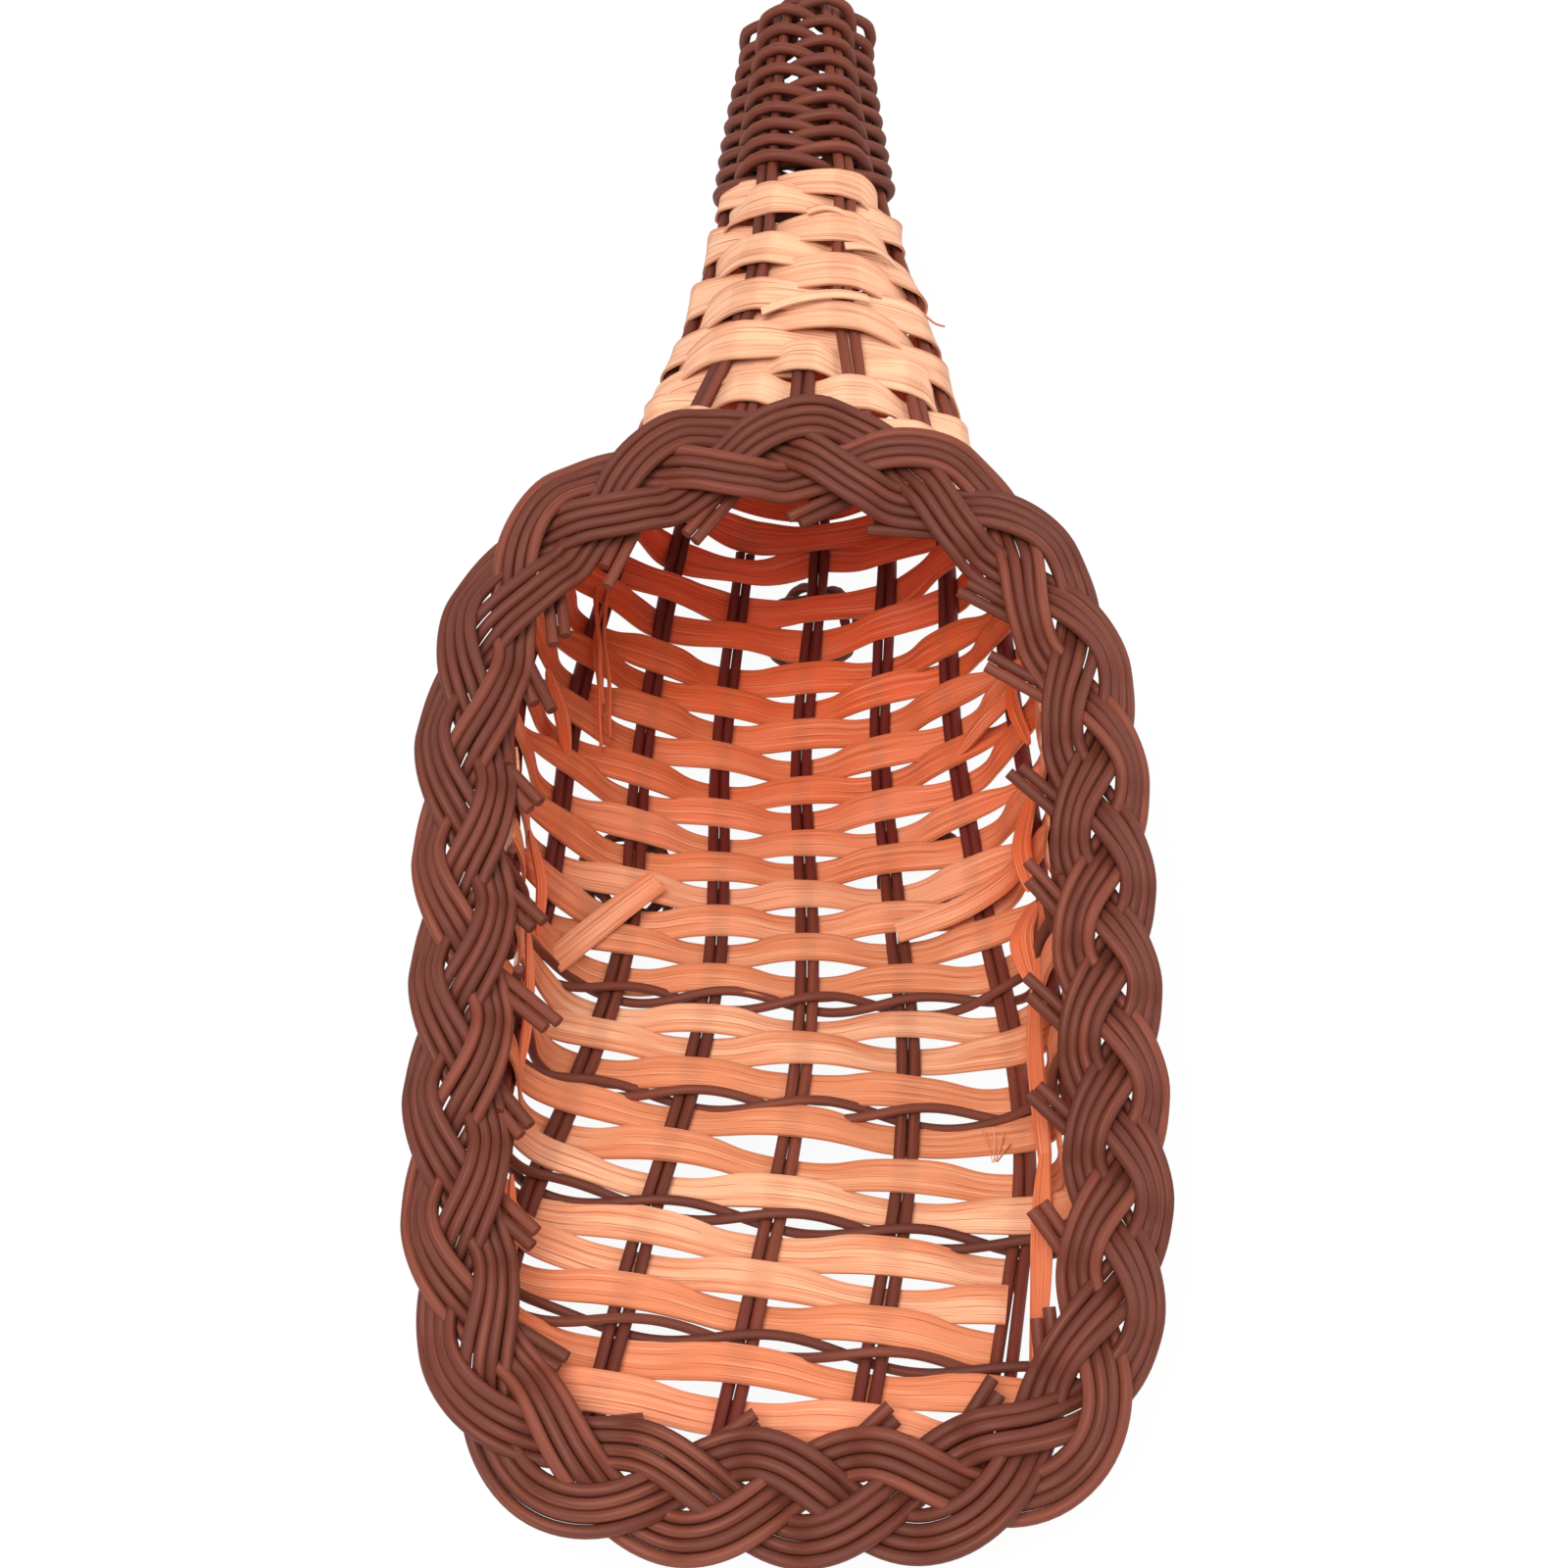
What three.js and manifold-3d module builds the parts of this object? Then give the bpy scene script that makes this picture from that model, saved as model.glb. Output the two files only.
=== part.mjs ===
// Cornucopia basket: a horn of paired cord stakes woven with flat wood-chip strips, with a plaited
// border round its slanted mouth, a tail wound with cord and three twisted cord rings for feet.
// Millimetres, +Z up, the mouth towards -Y, standing on its feet.
import * as THREE from 'three';
import { mergeVertices } from 'three/addons/utils/BufferGeometryUtils.js';
import Module from 'manifold-3d';

// Materials the basket is woven from
const CORD_DIAMETER = 2.2;
const PAIRING_CORD_DIAMETER = 1.5;
const CHIP_WIDTH = 6.6;
const CHIP_THICKNESS = 0.6;
const CLEARANCE = 0.3;
const ROW_GAP = 0.4;

// Horn, from the tail tip to the lip: the floor line, the crown line above it, the half width of
// each section, its middle to the right, and the squareness of its lower and its upper half, where 2
// is an ellipse
const HORN = [
  { floor: [309.5, 63.0], crown: [307.5, 79.5], halfWidth: 8.2, middle: 6.0, squareness: [2.0, 2.0] },
  { floor: [303.3, 57.5], crown: [300.0, 82.8], halfWidth: 10.8, middle: 5.0, squareness: [2.0, 2.0] },
  { floor: [281.0, 49.3], crown: [275.5, 82.3], halfWidth: 14.0, middle: 4.2, squareness: [2.0, 2.0] },
  { floor: [254.0, 40.3], crown: [248.0, 80.3], halfWidth: 17.6, middle: 4.4, squareness: [2.0, 2.0] },
  { floor: [230.0, 24.0], crown: [220.5, 78.1], halfWidth: 25.0, middle: 4.6, squareness: [1.9, 2.0] },
  { floor: [211.5, 10.3], crown: [199.5, 75.2], halfWidth: 32.0, middle: 3.8, squareness: [1.7, 2.1] },
  { floor: [188.0, 1.2], crown: [171.6, 69.0], halfWidth: 41.5, middle: 0.6, squareness: [1.6, 2.4] },
  { floor: [159.5, -2.5], crown: [152.0, 73.5], halfWidth: 48.6, middle: -1.4, squareness: [1.7, 2.7] },
  { floor: [127.6, 0.0], crown: [127.6, 76.0], halfWidth: 49.8, middle: -0.8, squareness: [2.5, 2.9] },
  { floor: [88.0, 5.3], crown: [88.0, 78.0], halfWidth: 47.8, middle: 0.0, squareness: [2.9, 2.9] },
  { floor: [44.0, 11.0], crown: [44.0, 79.2], halfWidth: 48.4, middle: 0.4, squareness: [3.5, 3.0] },
  { floor: [6.6, 15.8], crown: [6.6, 81.4], halfWidth: 48.4, middle: 1.0, squareness: [4.0, 3.2] },
  { floor: [-17.6, 19.1], crown: [-17.6, 81.4], halfWidth: 47.6, middle: 1.2, squareness: [4.0, 3.2] },
];
// The mouth is cut by a slanted plane through these two points of the lip and the crown
const MOUTH_LIP = [4.0, 16.2];
const MOUTH_CROWN = [171.6, 69.0];

// The weave lies askew on the front floor: rows fall to the right and stakes lean left towards the
// lip, which fades out over this stretch of the floor
const ROW_SKEW = 0.15;
const STAKE_LEAN = 0.2;
const SKEW_FROM = 40.0;
const SKEW_TO = 125.0;

// Stakes: every second one runs on to the tail tip, the others start in the neck. They lie a little
// to the right on the floor, where they spread towards the lip
const STAKES_PER_SIDE = 7;
const TAIL_STAKE_STEP = 2;
const STAKE_SAG = 0.15;
const STAKE_SHIFT = 5.0;
const STAKE_SPACING = 17.0;
const FRONT_STAKE_SPACING = 22.0;

// Rows counted from the lip
const FIRST_ROW = 5.0;
const STRIPS_BEFORE_PAIRING = [2, 3, 3, 3];
const NECK_TURNS = 4;
const STAKES_PER_NECK_PIECE = 16;
const STAKES_PER_TAIL_PIECE = 15;
const STAKES_PER_WINDING_PIECE = 29;
const PIECE_GAP = 1.4;
const WINDING_START = 8.0;
const WINDING_END = 56.0;
const RIM_MARGIN = 2.4;
const FREE_END = 4.0;
const SKEW_ROOM = 1.5;
const WINDING_GAP = 0.62;

// Plaited border
const PLAIT_STRANDS = 3;
const PLAIT_REPEATS = 8;
const PLAIT_STEPS = 8;
const PLAIT_BAND = 6.8;
const PLAIT_SWING = 7.2;
const PLAIT_LIFT = 2.8;
const PLAIT_OUTSET = 6.0;
const PLAIT_SHIFT = 0.95;
const PLAIT_DRIFT = 0.43;
const PLAIT_DRIFT_PEAK = 0.36;

// Ring feet: one cord twice round, twisted on itself
const RING_RADIUS = 8.6;
const RING_TWISTS = 7;
const RING_STEPS = 28;
const RING_FLAT = 0.5;
const FRONT_RING_FRACTION = 0.098;
const FRONT_RING_ARC = 127.0;
const REAR_RING_FRACTION = 0.015;
const RING_GAP = 0.8;

const CORD_RADIUS = CORD_DIAMETER / 2;
const PAIRING_RADIUS = PAIRING_CORD_DIAMETER / 2;
const CHIP_OFFSET = CORD_RADIUS + CLEARANCE + CHIP_THICKNESS / 2;
const CHIP_FACE = CHIP_OFFSET + CHIP_THICKNESS / 2;
const CHIP_PITCH = CHIP_WIDTH + ROW_GAP;
const SEAT_LENGTH = CORD_DIAMETER * 1.3;
const CORD_SEAT = CORD_DIAMETER * 0.9;
const STAKE_COUNT = 2 * STAKES_PER_SIDE + 1;

const brown = new THREE.MeshStandardMaterial({ color: 0x6b3b2d, roughness: 0.55, metalness: 0 });
const orange = new THREE.MeshStandardMaterial({ color: 0xf2a068, roughness: 0.7, metalness: 0 });

// Horn surface
const line = (key) => new THREE.SplineCurve(HORN.map((part) => new THREE.Vector2(...part[key])));
const floorLine = line('floor');
const crownLine = line('crown');
const [lowerHalf, upperHalf] = [0, 1].map(
  (half) => new THREE.SplineCurve(
    HORN.map(({ halfWidth, squareness }) => new THREE.Vector2(halfWidth, squareness[half])),
  ),
);
const middleLine = new THREE.SplineCurve(HORN.map(({ middle }) => new THREE.Vector2(middle, 0)));
floorLine.arcLengthDivisions = 600;

const SECTION_POINTS = 160;
const sections = new Map();

// Half of one cross-section, from floor to crown, with its running length
function sectionAt(t) {
  const key = t.toFixed(6);
  if (!sections.has(key)) {
    const floor = floorLine.getPoint(t);
    const crown = crownLine.getPoint(t);
    const halves = [lowerHalf.getPoint(t), upperHalf.getPoint(t)];
    const points = [];
    const lengths = [];
    for (let i = 0; i <= SECTION_POINTS; i++) {
      const angle = (Math.PI * i) / SECTION_POINTS;
      const half = halves[angle < Math.PI / 2 ? 0 : 1];
      const power = 2 / half.y;
      const across = half.x * Math.abs(Math.sin(angle)) ** power;
      const rise = 0.5 - 0.5 * Math.sign(Math.cos(angle)) * Math.abs(Math.cos(angle)) ** power;
      const centre = floor.clone().lerp(crown, rise);
      points.push(new THREE.Vector3(across, centre.x, centre.y));
      lengths.push(i === 0 ? 0 : lengths[i - 1] + points[i].distanceTo(points[i - 1]));
    }
    const girth = 2 * lengths[SECTION_POINTS];
    sections.set(key, { points, lengths, girth, middle: middleLine.getPoint(t).x });
  }
  return sections.get(key);
}

// Point of the horn at t along it and the signed fraction of the girth from the floor's middle
function surface(t, fraction) {
  const { points, lengths, girth, middle } = sectionAt(THREE.MathUtils.clamp(t, 0, 1));
  const wrapped = fraction - Math.round(fraction);
  const target = Math.abs(wrapped) * girth;
  let index = 1;
  while (index < SECTION_POINTS && lengths[index] < target) {
    index++;
  }
  const share = (target - lengths[index - 1]) / (lengths[index] - lengths[index - 1]);
  const point = points[index - 1].clone().lerp(points[index], share);
  point.x = middle + point.x * Math.sign(wrapped);
  return point;
}

const T_STEP = 0.002;
const FRACTION_STEP = 0.005;

// Directions on the horn: along it towards the lip, round it, and out of it
function axesAt(t, fraction) {
  const along = surface(t + T_STEP, fraction).sub(surface(t - T_STEP, fraction)).normalize();
  const round = surface(t, fraction + FRACTION_STEP).sub(surface(t, fraction - FRACTION_STEP)).normalize();
  const out = new THREE.Vector3().crossVectors(round, along).normalize();
  return { along, round, out };
}

function bisect(low, high, isLow) {
  for (let i = 0; i < 40; i++) {
    const middle = (low + high) / 2;
    if (isLow(middle)) {
      low = middle;
    } else {
      high = middle;
    }
  }
  return (low + high) / 2;
}

// Mouth plane and the rim where the horn meets it
const mouthSlope = Math.atan2(MOUTH_CROWN[1] - MOUTH_LIP[1], MOUTH_CROWN[0] - MOUTH_LIP[0]);
const mouthNormal = new THREE.Vector3(0, -Math.sin(mouthSlope), Math.cos(mouthSlope));
const mouthPlane = new THREE.Plane().setFromNormalAndCoplanarPoint(
  mouthNormal,
  new THREE.Vector3(0, ...MOUTH_LIP),
);
const aboveMouth = (point) => mouthPlane.distanceToPoint(point);
const T_CROWN = bisect(0.2, 0.8, (t) => aboveMouth(surface(t, 0.5)) < 0);
const T_LIP = bisect(T_CROWN, 1, (t) => aboveMouth(surface(t, 0)) < 0);
const rimAt = (fraction) => bisect(T_CROWN * 0.98, 1, (t) => aboveMouth(surface(t, fraction)) < 0);

// Arc length along the floor, counted from the lip towards the tail
const floorLengths = floorLine.getLengths();
const floorLength = floorLengths[floorLengths.length - 1];
function floorArc(t) {
  const place = t * floorLine.arcLengthDivisions;
  const index = Math.min(Math.floor(place), floorLine.arcLengthDivisions - 1);
  return THREE.MathUtils.lerp(floorLengths[index], floorLengths[index + 1], place - index);
}
const LIP_ARC = floorArc(T_LIP);
const tAtArc = (arc) => floorLine.getUtoTmapping(0, Math.max(LIP_ARC - arc, 1e-6));
const NECK_ARC = LIP_ARC - floorArc(T_CROWN);
const WINDING_FROM = LIP_ARC - WINDING_END;
const WINDING_TO = LIP_ARC - WINDING_START;

// Rows follow the weave, so their arc shifts with the distance round the horn
const girthAt = (arc) => sectionAt(tAtArc(arc)).girth;
const skewAt = (arc) => ROW_SKEW * (1 - THREE.MathUtils.smoothstep(arc, SKEW_FROM, SKEW_TO));
function rowArc(arc, fraction) {
  const wrapped = fraction - Math.round(fraction);
  return arc - skewAt(arc) * wrapped * girthAt(arc);
}
const rowPoint = (arc, fraction) => surface(tAtArc(rowArc(arc, fraction)), fraction);

// Sideways place of the stakes on the floor
function stakeDrift(arc) {
  const share = THREE.MathUtils.clamp((arc - SKEW_FROM) / (SKEW_TO - SKEW_FROM), 0, 1);
  const fading = (SKEW_TO - SKEW_FROM) * (0.5 - share + share ** 3 - share ** 4 / 2);
  return STAKE_SHIFT - STAKE_LEAN * (fading + Math.max(SKEW_FROM - arc, 0));
}

// Fraction of the girth at which a row reaches the mouth on one side, or half where it is a ring
function rimFraction(arc, side) {
  if (aboveMouth(rowPoint(arc, side * 0.4999)) < 0) {
    return 0.5;
  }
  return bisect(0, 0.5, (fraction) => aboveMouth(rowPoint(arc, side * fraction)) < 0);
}

// A path along a row takes a place on the horn, an offset out of it and a turn of its side
function placeAt(arc, fraction, offset, turn = 0) {
  const { round, out } = axesAt(tAtArc(rowArc(arc, fraction)), fraction);
  const reach = CHIP_WIDTH / 2;
  const side = rowPoint(arc + reach, fraction).sub(rowPoint(arc - reach, fraction));
  side.divideScalar(2 * reach).multiplyScalar(Math.cos(turn)).addScaledVector(round, Math.sin(turn));
  return { point: rowPoint(arc, fraction).addScaledVector(out, offset), side };
}

// Solid swept along a path, with its profile across the side direction and upwards from it
function sweep(path, profile, closed = false) {
  const last = path.length - 1;
  const positions = [];
  path.forEach(({ point, side }, i) => {
    const before = path[closed && i === 0 ? last : Math.max(i - 1, 0)].point;
    const after = path[closed && i === last ? 0 : Math.min(i + 1, last)].point;
    const forward = after.clone().sub(before).normalize();
    const up = new THREE.Vector3().crossVectors(forward, side).normalize();
    const across = new THREE.Vector3().crossVectors(up, forward).multiplyScalar(side.length());
    for (const [a, b] of profile) {
      positions.push(...point.clone().addScaledVector(across, a).addScaledVector(up, b).toArray());
    }
  });
  const size = profile.length;
  const index = [];
  for (let i = 0; i < (closed ? path.length : last); i++) {
    const here = i * size;
    const next = ((i + 1) % path.length) * size;
    for (let j = 0; j < size; j++) {
      const k = (j + 1) % size;
      index.push(here + j, here + k, next + k, here + j, next + k, next + j);
    }
  }
  if (!closed) {
    const contour = profile.map(([a, b]) => new THREE.Vector2(a, b));
    for (const [a, b, c] of THREE.ShapeUtils.triangulateShape(contour, [])) {
      index.push(c, b, a, last * size + a, last * size + b, last * size + c);
    }
  }
  const geometry = new THREE.BufferGeometry();
  geometry.setAttribute('position', new THREE.Float32BufferAttribute(positions, 3));
  geometry.setIndex(index);
  return facingOut(geometry);
}

// The signed volume tells which way the faces point
function facingOut(geometry) {
  const position = geometry.getAttribute('position');
  const index = geometry.getIndex();
  const corners = [new THREE.Vector3(), new THREE.Vector3(), new THREE.Vector3()];
  let volume = 0;
  for (let i = 0; i < index.count; i += 3) {
    corners.forEach((corner, j) => corner.fromBufferAttribute(position, index.getX(i + j)));
    volume += corners[0].dot(corners[1].clone().cross(corners[2]));
  }
  if (volume < 0) {
    index.array.reverse();
  }
  return geometry;
}

const roundProfile = (radius, sides) =>
  Array.from({ length: sides }, (_, i) => {
    const angle = (2 * Math.PI * i) / sides;
    return [radius * Math.cos(angle), radius * Math.sin(angle)];
  });
const pairProfile = [
  [1.4, -0.9], [2, 0], [1.4, 0.9], [0, 0.4], [-1.4, 0.9], [-2, 0], [-1.4, -0.9], [0, -0.4],
].map(([a, b]) => [a * CORD_RADIUS, b * CORD_RADIUS]);
const chipProfile = [[-1, -1], [1, -1], [1, 1], [-1, 1]].map(([a, b]) => [
  (a * CHIP_WIDTH) / 2,
  (b * CHIP_THICKNESS) / 2,
]);
const bandProfile = [[-1, 0], [-0.7, -1], [0.7, -1], [1, 0], [0.7, 1], [-0.7, 1]].map(([a, b]) => [
  (a * PLAIT_BAND) / 2,
  b * CORD_RADIUS,
]);

const basket = new THREE.Group();
function addPiece(name, geometry, material) {
  const mesh = new THREE.Mesh(geometry, material);
  mesh.name = name;
  basket.add(mesh);
}

// Rows in order from the lip: strips in groups between pairings, then strips up to the neck
const rows = [];
let nextArc = FIRST_ROW;
const pairingRise = PAIRING_RADIUS + ROW_GAP / 2;
const pairingWidth = 2 * (pairingRise + PAIRING_RADIUS);
for (const strips of STRIPS_BEFORE_PAIRING) {
  for (let i = 0; i < strips; i++) {
    rows.push({ kind: 'front', arc: nextArc + CHIP_WIDTH / 2 });
    nextArc += CHIP_PITCH;
  }
  rows.push({ kind: 'pairing', arc: nextArc + pairingWidth / 2 });
  nextArc += pairingWidth + ROW_GAP;
}
while (nextArc + CHIP_WIDTH < NECK_ARC) {
  rows.push({ kind: 'belly', arc: nextArc + CHIP_WIDTH / 2 });
  nextArc += CHIP_PITCH;
}
const spiralFrom = nextArc;

// Stakes are spaced along the floor, close up to fit the girth above it and go over to even spacing
// in the tail, where only every second one is left
const isTailStake = (number) => number % TAIL_STAKE_STEP === 0;
function stakeFraction(number, arc) {
  const girth = girthAt(arc);
  const front = 1 - THREE.MathUtils.smoothstep(arc, SKEW_FROM, SKEW_TO);
  const spacing = THREE.MathUtils.lerp(STAKE_SPACING, FRONT_STAKE_SPACING, front) / girth;
  const half = STAKE_COUNT / 2;
  const onFloor = spacing * number + (0.5 - spacing * half) * (number / half) ** 3;
  const even = number / (isTailStake(number) ? STAKE_COUNT - 1 : STAKE_COUNT);
  const tail = THREE.MathUtils.smoothstep(arc, NECK_ARC, WINDING_FROM);
  return THREE.MathUtils.lerp(onFloor + stakeDrift(arc) / girth, even, tail);
}
const stakePoint = (number, arc) => surface(tAtArc(arc), stakeFraction(number, arc));
const stakeNumbers = Array.from({ length: STAKE_COUNT }, (_, i) => i - STAKES_PER_SIDE);
const tailStakes = stakeNumbers.filter(isTailStake);

// The neck's spiral rises by one strip a turn, and the short stakes end at its last turn
const neckRise = (number) => CHIP_PITCH * (NECK_TURNS + (number + STAKES_PER_SIDE) / STAKE_COUNT);

function makeStake(number) {
  const seat = CHIP_FACE - CORD_RADIUS - ROW_GAP;
  const from = bisect(-FIRST_ROW, NECK_ARC + FIRST_ROW, (arc) => aboveMouth(stakePoint(number, arc)) > seat);
  const to = isTailStake(number) ? LIP_ARC : spiralFrom + neckRise(number) - 2 * CLEARANCE;
  const pieces = 6;
  const stops = Array.from({ length: pieces + 1 }, (_, i) => THREE.MathUtils.lerp(from, to, i / pieces));
  for (let i = 0; i + 1 < stops.length; ) {
    const half = (stops[i] + stops[i + 1]) / 2;
    const chord = new THREE.Line3(stakePoint(number, stops[i]), stakePoint(number, stops[i + 1]));
    const foot = chord.closestPointToPoint(stakePoint(number, half), true, new THREE.Vector3());
    if (foot.distanceTo(stakePoint(number, half)) > STAKE_SAG) {
      stops.splice(i + 1, 0, half);
    } else {
      i++;
    }
  }
  const path = stops.map((arc) => ({
    point: stakePoint(number, arc),
    side: axesAt(tAtArc(arc), stakeFraction(number, arc)).round,
  }));
  return sweep(path, pairProfile);
}

// Where a row crosses a stake, as a fraction of the girth
function crossingFraction(number, arc) {
  let fraction = stakeFraction(number, arc);
  for (let i = 0; i < 6; i++) {
    fraction = stakeFraction(number, rowArc(arc, fraction));
  }
  return fraction;
}

// Stakes a row crosses from rim to rim, with the length it needs beyond the last one on each side,
// and its ends at the rim or short of a stake that it no longer crosses
function rowAcross(arc, width, beyond) {
  const girth = girthAt(arc);
  const limits = [-1, 1].map((side) => {
    const edges = [-0.5, 0, 0.5].map((share) => rimFraction(arc + share * width, side));
    return side * (Math.min(...edges) - RIM_MARGIN / girth);
  });
  const all = stakeNumbers.map((number) => ({ number, fraction: crossingFraction(number, arc) }));
  const stakes = all.filter(
    ({ fraction }) =>
      fraction - (SEAT_LENGTH + beyond[0]) / girth > limits[0] &&
      fraction + (SEAT_LENGTH + beyond[1]) / girth < limits[1],
  );
  const besideStake = (CORD_DIAMETER + CLEARANCE + SKEW_ROOM) / girth;
  const before = all[all.indexOf(stakes[0]) - 1];
  const after = all[all.indexOf(stakes[stakes.length - 1]) + 1];
  const ends = [
    before ? Math.max(limits[0], before.fraction + besideStake) : limits[0],
    after ? Math.min(limits[1], after.fraction - besideStake) : limits[1],
  ];
  return { girth, stakes, ends };
}

// Strip row over one stake and under the next, with its free ends easing back to the middle
function stripPlaces(arc, stakes, parity) {
  const girth = girthAt(arc);
  return stakes.flatMap(({ number, fraction }) => {
    const offset = Math.abs(number + parity) % 2 === 0 ? CHIP_OFFSET : -CHIP_OFFSET;
    return [-SEAT_LENGTH, SEAT_LENGTH].map((shift) => [arc, fraction + shift / girth, offset, 0]);
  });
}
function freeEnd(place, fraction) {
  const run = Math.abs(fraction - place[1]) * girthAt(place[0]);
  return [place[0], fraction, place[2] * Math.max(1 - run / (2 * FREE_END), 0), place[3]];
}
function makeFrontStrip(arc, parity) {
  const { stakes, ends } = rowAcross(arc, CHIP_WIDTH, [CLEARANCE, CLEARANCE]);
  const places = stripPlaces(arc, stakes, parity);
  const path = [freeEnd(places[0], ends[0]), ...places, freeEnd(places[places.length - 1], ends[1])];
  return sweep(path.map((place) => placeAt(...place)), chipProfile);
}

// Two belly rows in one strip, which turns back beyond the last stake on one side
function makeBellyStrip(arcs, parity, turnSide) {
  const turnRadius = CHIP_PITCH / 2;
  const reach = turnRadius + CHIP_WIDTH / 2 + CLEARANCE;
  const beyond = turnSide < 0 ? [reach, CLEARANCE] : [CLEARANCE, reach];
  const across = arcs.map((arc) => rowAcross(arc, CHIP_WIDTH, beyond));
  const shared = (number) => across.every(({ stakes }) => stakes.some((stake) => stake.number === number));
  const runs = arcs.map((arc, i) => {
    const onTurnSide = ({ number, fraction }) => fraction * turnSide < 0 || shared(number);
    const stakes = across[i].stakes.filter(onTurnSide);
    const places = stripPlaces(arc, stakes, parity + i);
    if (turnSide < 0) {
      places.reverse();
    }
    const free = across[i].ends[turnSide < 0 ? 1 : 0];
    return [freeEnd(places[0], free), ...places];
  });
  const girth = across[0].girth;
  const lasts = runs.map((run) => run[run.length - 1][1] * turnSide);
  const turnFraction = Math.max(...lasts) + CLEARANCE / girth;
  const path = [...runs[0]];
  const steps = 6;
  for (let step = 0; step <= steps && runs.length > 1; step++) {
    const turn = (Math.PI * step) / steps;
    const bow = turnFraction + (turnRadius * Math.sin(turn)) / girth;
    path.push([arcs[0] + turnRadius * (1 - Math.cos(turn)), turnSide * bow, 0, -turnSide * turn]);
  }
  if (runs.length > 1) {
    const back = runs[1].reverse();
    path.push(...back.map(([arc, fraction, offset]) => [arc, fraction, offset, -turnSide * Math.PI]));
  }
  return sweep(path.map((place) => placeAt(...place)), chipProfile);
}

// Spiral over and under an odd number of stakes, so that each turn alternates with the last
function spiralCrossings(from, pitch, stakes, count, firstLap = 0) {
  return Array.from({ length: count }, (_, crossing) => {
    const arc = from + (pitch * crossing) / stakes.length;
    const lap = firstLap + Math.floor(crossing / stakes.length);
    const fraction = lap + stakeFraction(stakes[crossing % stakes.length], arc);
    return { arc, fraction, side: crossing % 2 === 0 ? -1 : 1 };
  });
}

// The spiral is pieced: each piece crosses some stakes and meets the next one between two stakes
function spiralPiece(crossings, [first, end], seats, offset, easing) {
  const meet = (i, gap) => {
    const [before, after] = [crossings[i - 1], crossings[i]];
    const middle = (before.fraction + after.fraction) / 2;
    return [(before.arc + after.arc) / 2, middle + gap / girthAt(after.arc), 0];
  };
  const places = crossings.slice(first, end).flatMap(({ arc, fraction, side }, i) => [
    ...(easing && i > 0 ? [meet(first + i, 0)] : []),
    ...seats.map((shift) => [arc, fraction + shift / girthAt(arc), side * offset]),
  ]);
  if (first > 0) {
    places.unshift(meet(first, PIECE_GAP / 2));
  }
  if (end < crossings.length) {
    places.push(meet(end, -PIECE_GAP / 2));
  }
  return places.map((place) => placeAt(...place));
}
function cutInto(length, first, end) {
  const cuts = [];
  for (let from = first; from < end; from += length) {
    cuts.push([from, Math.min(from + length, end)]);
  }
  return cuts;
}

// Strips round the neck, over every stake, and on round the tail, over the ones that are left
const neckCrossings = spiralCrossings(
  spiralFrom + CHIP_WIDTH / 2,
  CHIP_PITCH,
  stakeNumbers,
  NECK_TURNS * STAKE_COUNT,
);
const tailFrom = spiralFrom + neckRise(tailStakes[0]);
const tailRoom = WINDING_FROM - ROW_GAP - CHIP_WIDTH - tailFrom;
const tailCrossings = spiralCrossings(
  tailFrom + CHIP_WIDTH / 2,
  CHIP_PITCH,
  tailStakes,
  1 + Math.floor((tailRoom * tailStakes.length) / CHIP_PITCH),
  NECK_TURNS,
);
const stripCrossings = [...neckCrossings, ...tailCrossings];
const stripSeats = [-SEAT_LENGTH, 0, SEAT_LENGTH];
function makeSpiralStrip(cut) {
  return sweep(spiralPiece(stripCrossings, cut, stripSeats, CHIP_OFFSET, true), chipProfile);
}

// Pairing: two cords that twist half a turn between one stake and the next
function makePairingCord(arc, half) {
  const { stakes, ends } = rowAcross(arc, pairingWidth, [FREE_END, FREE_END]);
  const over = CORD_RADIUS + PAIRING_RADIUS + 2 * CLEARANCE;
  const stops = [ends[0]];
  stakes.forEach(({ fraction }, i) => {
    stops.push(fraction, i + 1 < stakes.length ? (fraction + stakes[i + 1].fraction) / 2 : ends[1]);
  });
  const path = stops.map((fraction, i) => {
    const angle = (i * Math.PI) / 2 + half * Math.PI;
    return placeAt(arc + pairingRise * Math.cos(angle), fraction, over * Math.sin(angle));
  });
  path.forEach(({ side }) => side.normalize());
  return sweep(path, roundProfile(PAIRING_RADIUS, 5));
}

// Tail winding: cord in a close spiral
function windingPaths() {
  const pitch = CORD_DIAMETER + WINDING_GAP;
  const turns = Math.floor((WINDING_TO - WINDING_FROM - CORD_DIAMETER) / pitch);
  const count = turns * tailStakes.length + 1;
  const crossings = spiralCrossings(WINDING_FROM + CORD_RADIUS, pitch, tailStakes, count);
  return cutInto(STAKES_PER_WINDING_PIECE, 0, count).map((cut) => {
    const path = spiralPiece(crossings, cut, [-CORD_SEAT, CORD_SEAT], CORD_DIAMETER + CLEARANCE, false);
    path.forEach(({ side }) => side.normalize());
    return path;
  });
}

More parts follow.
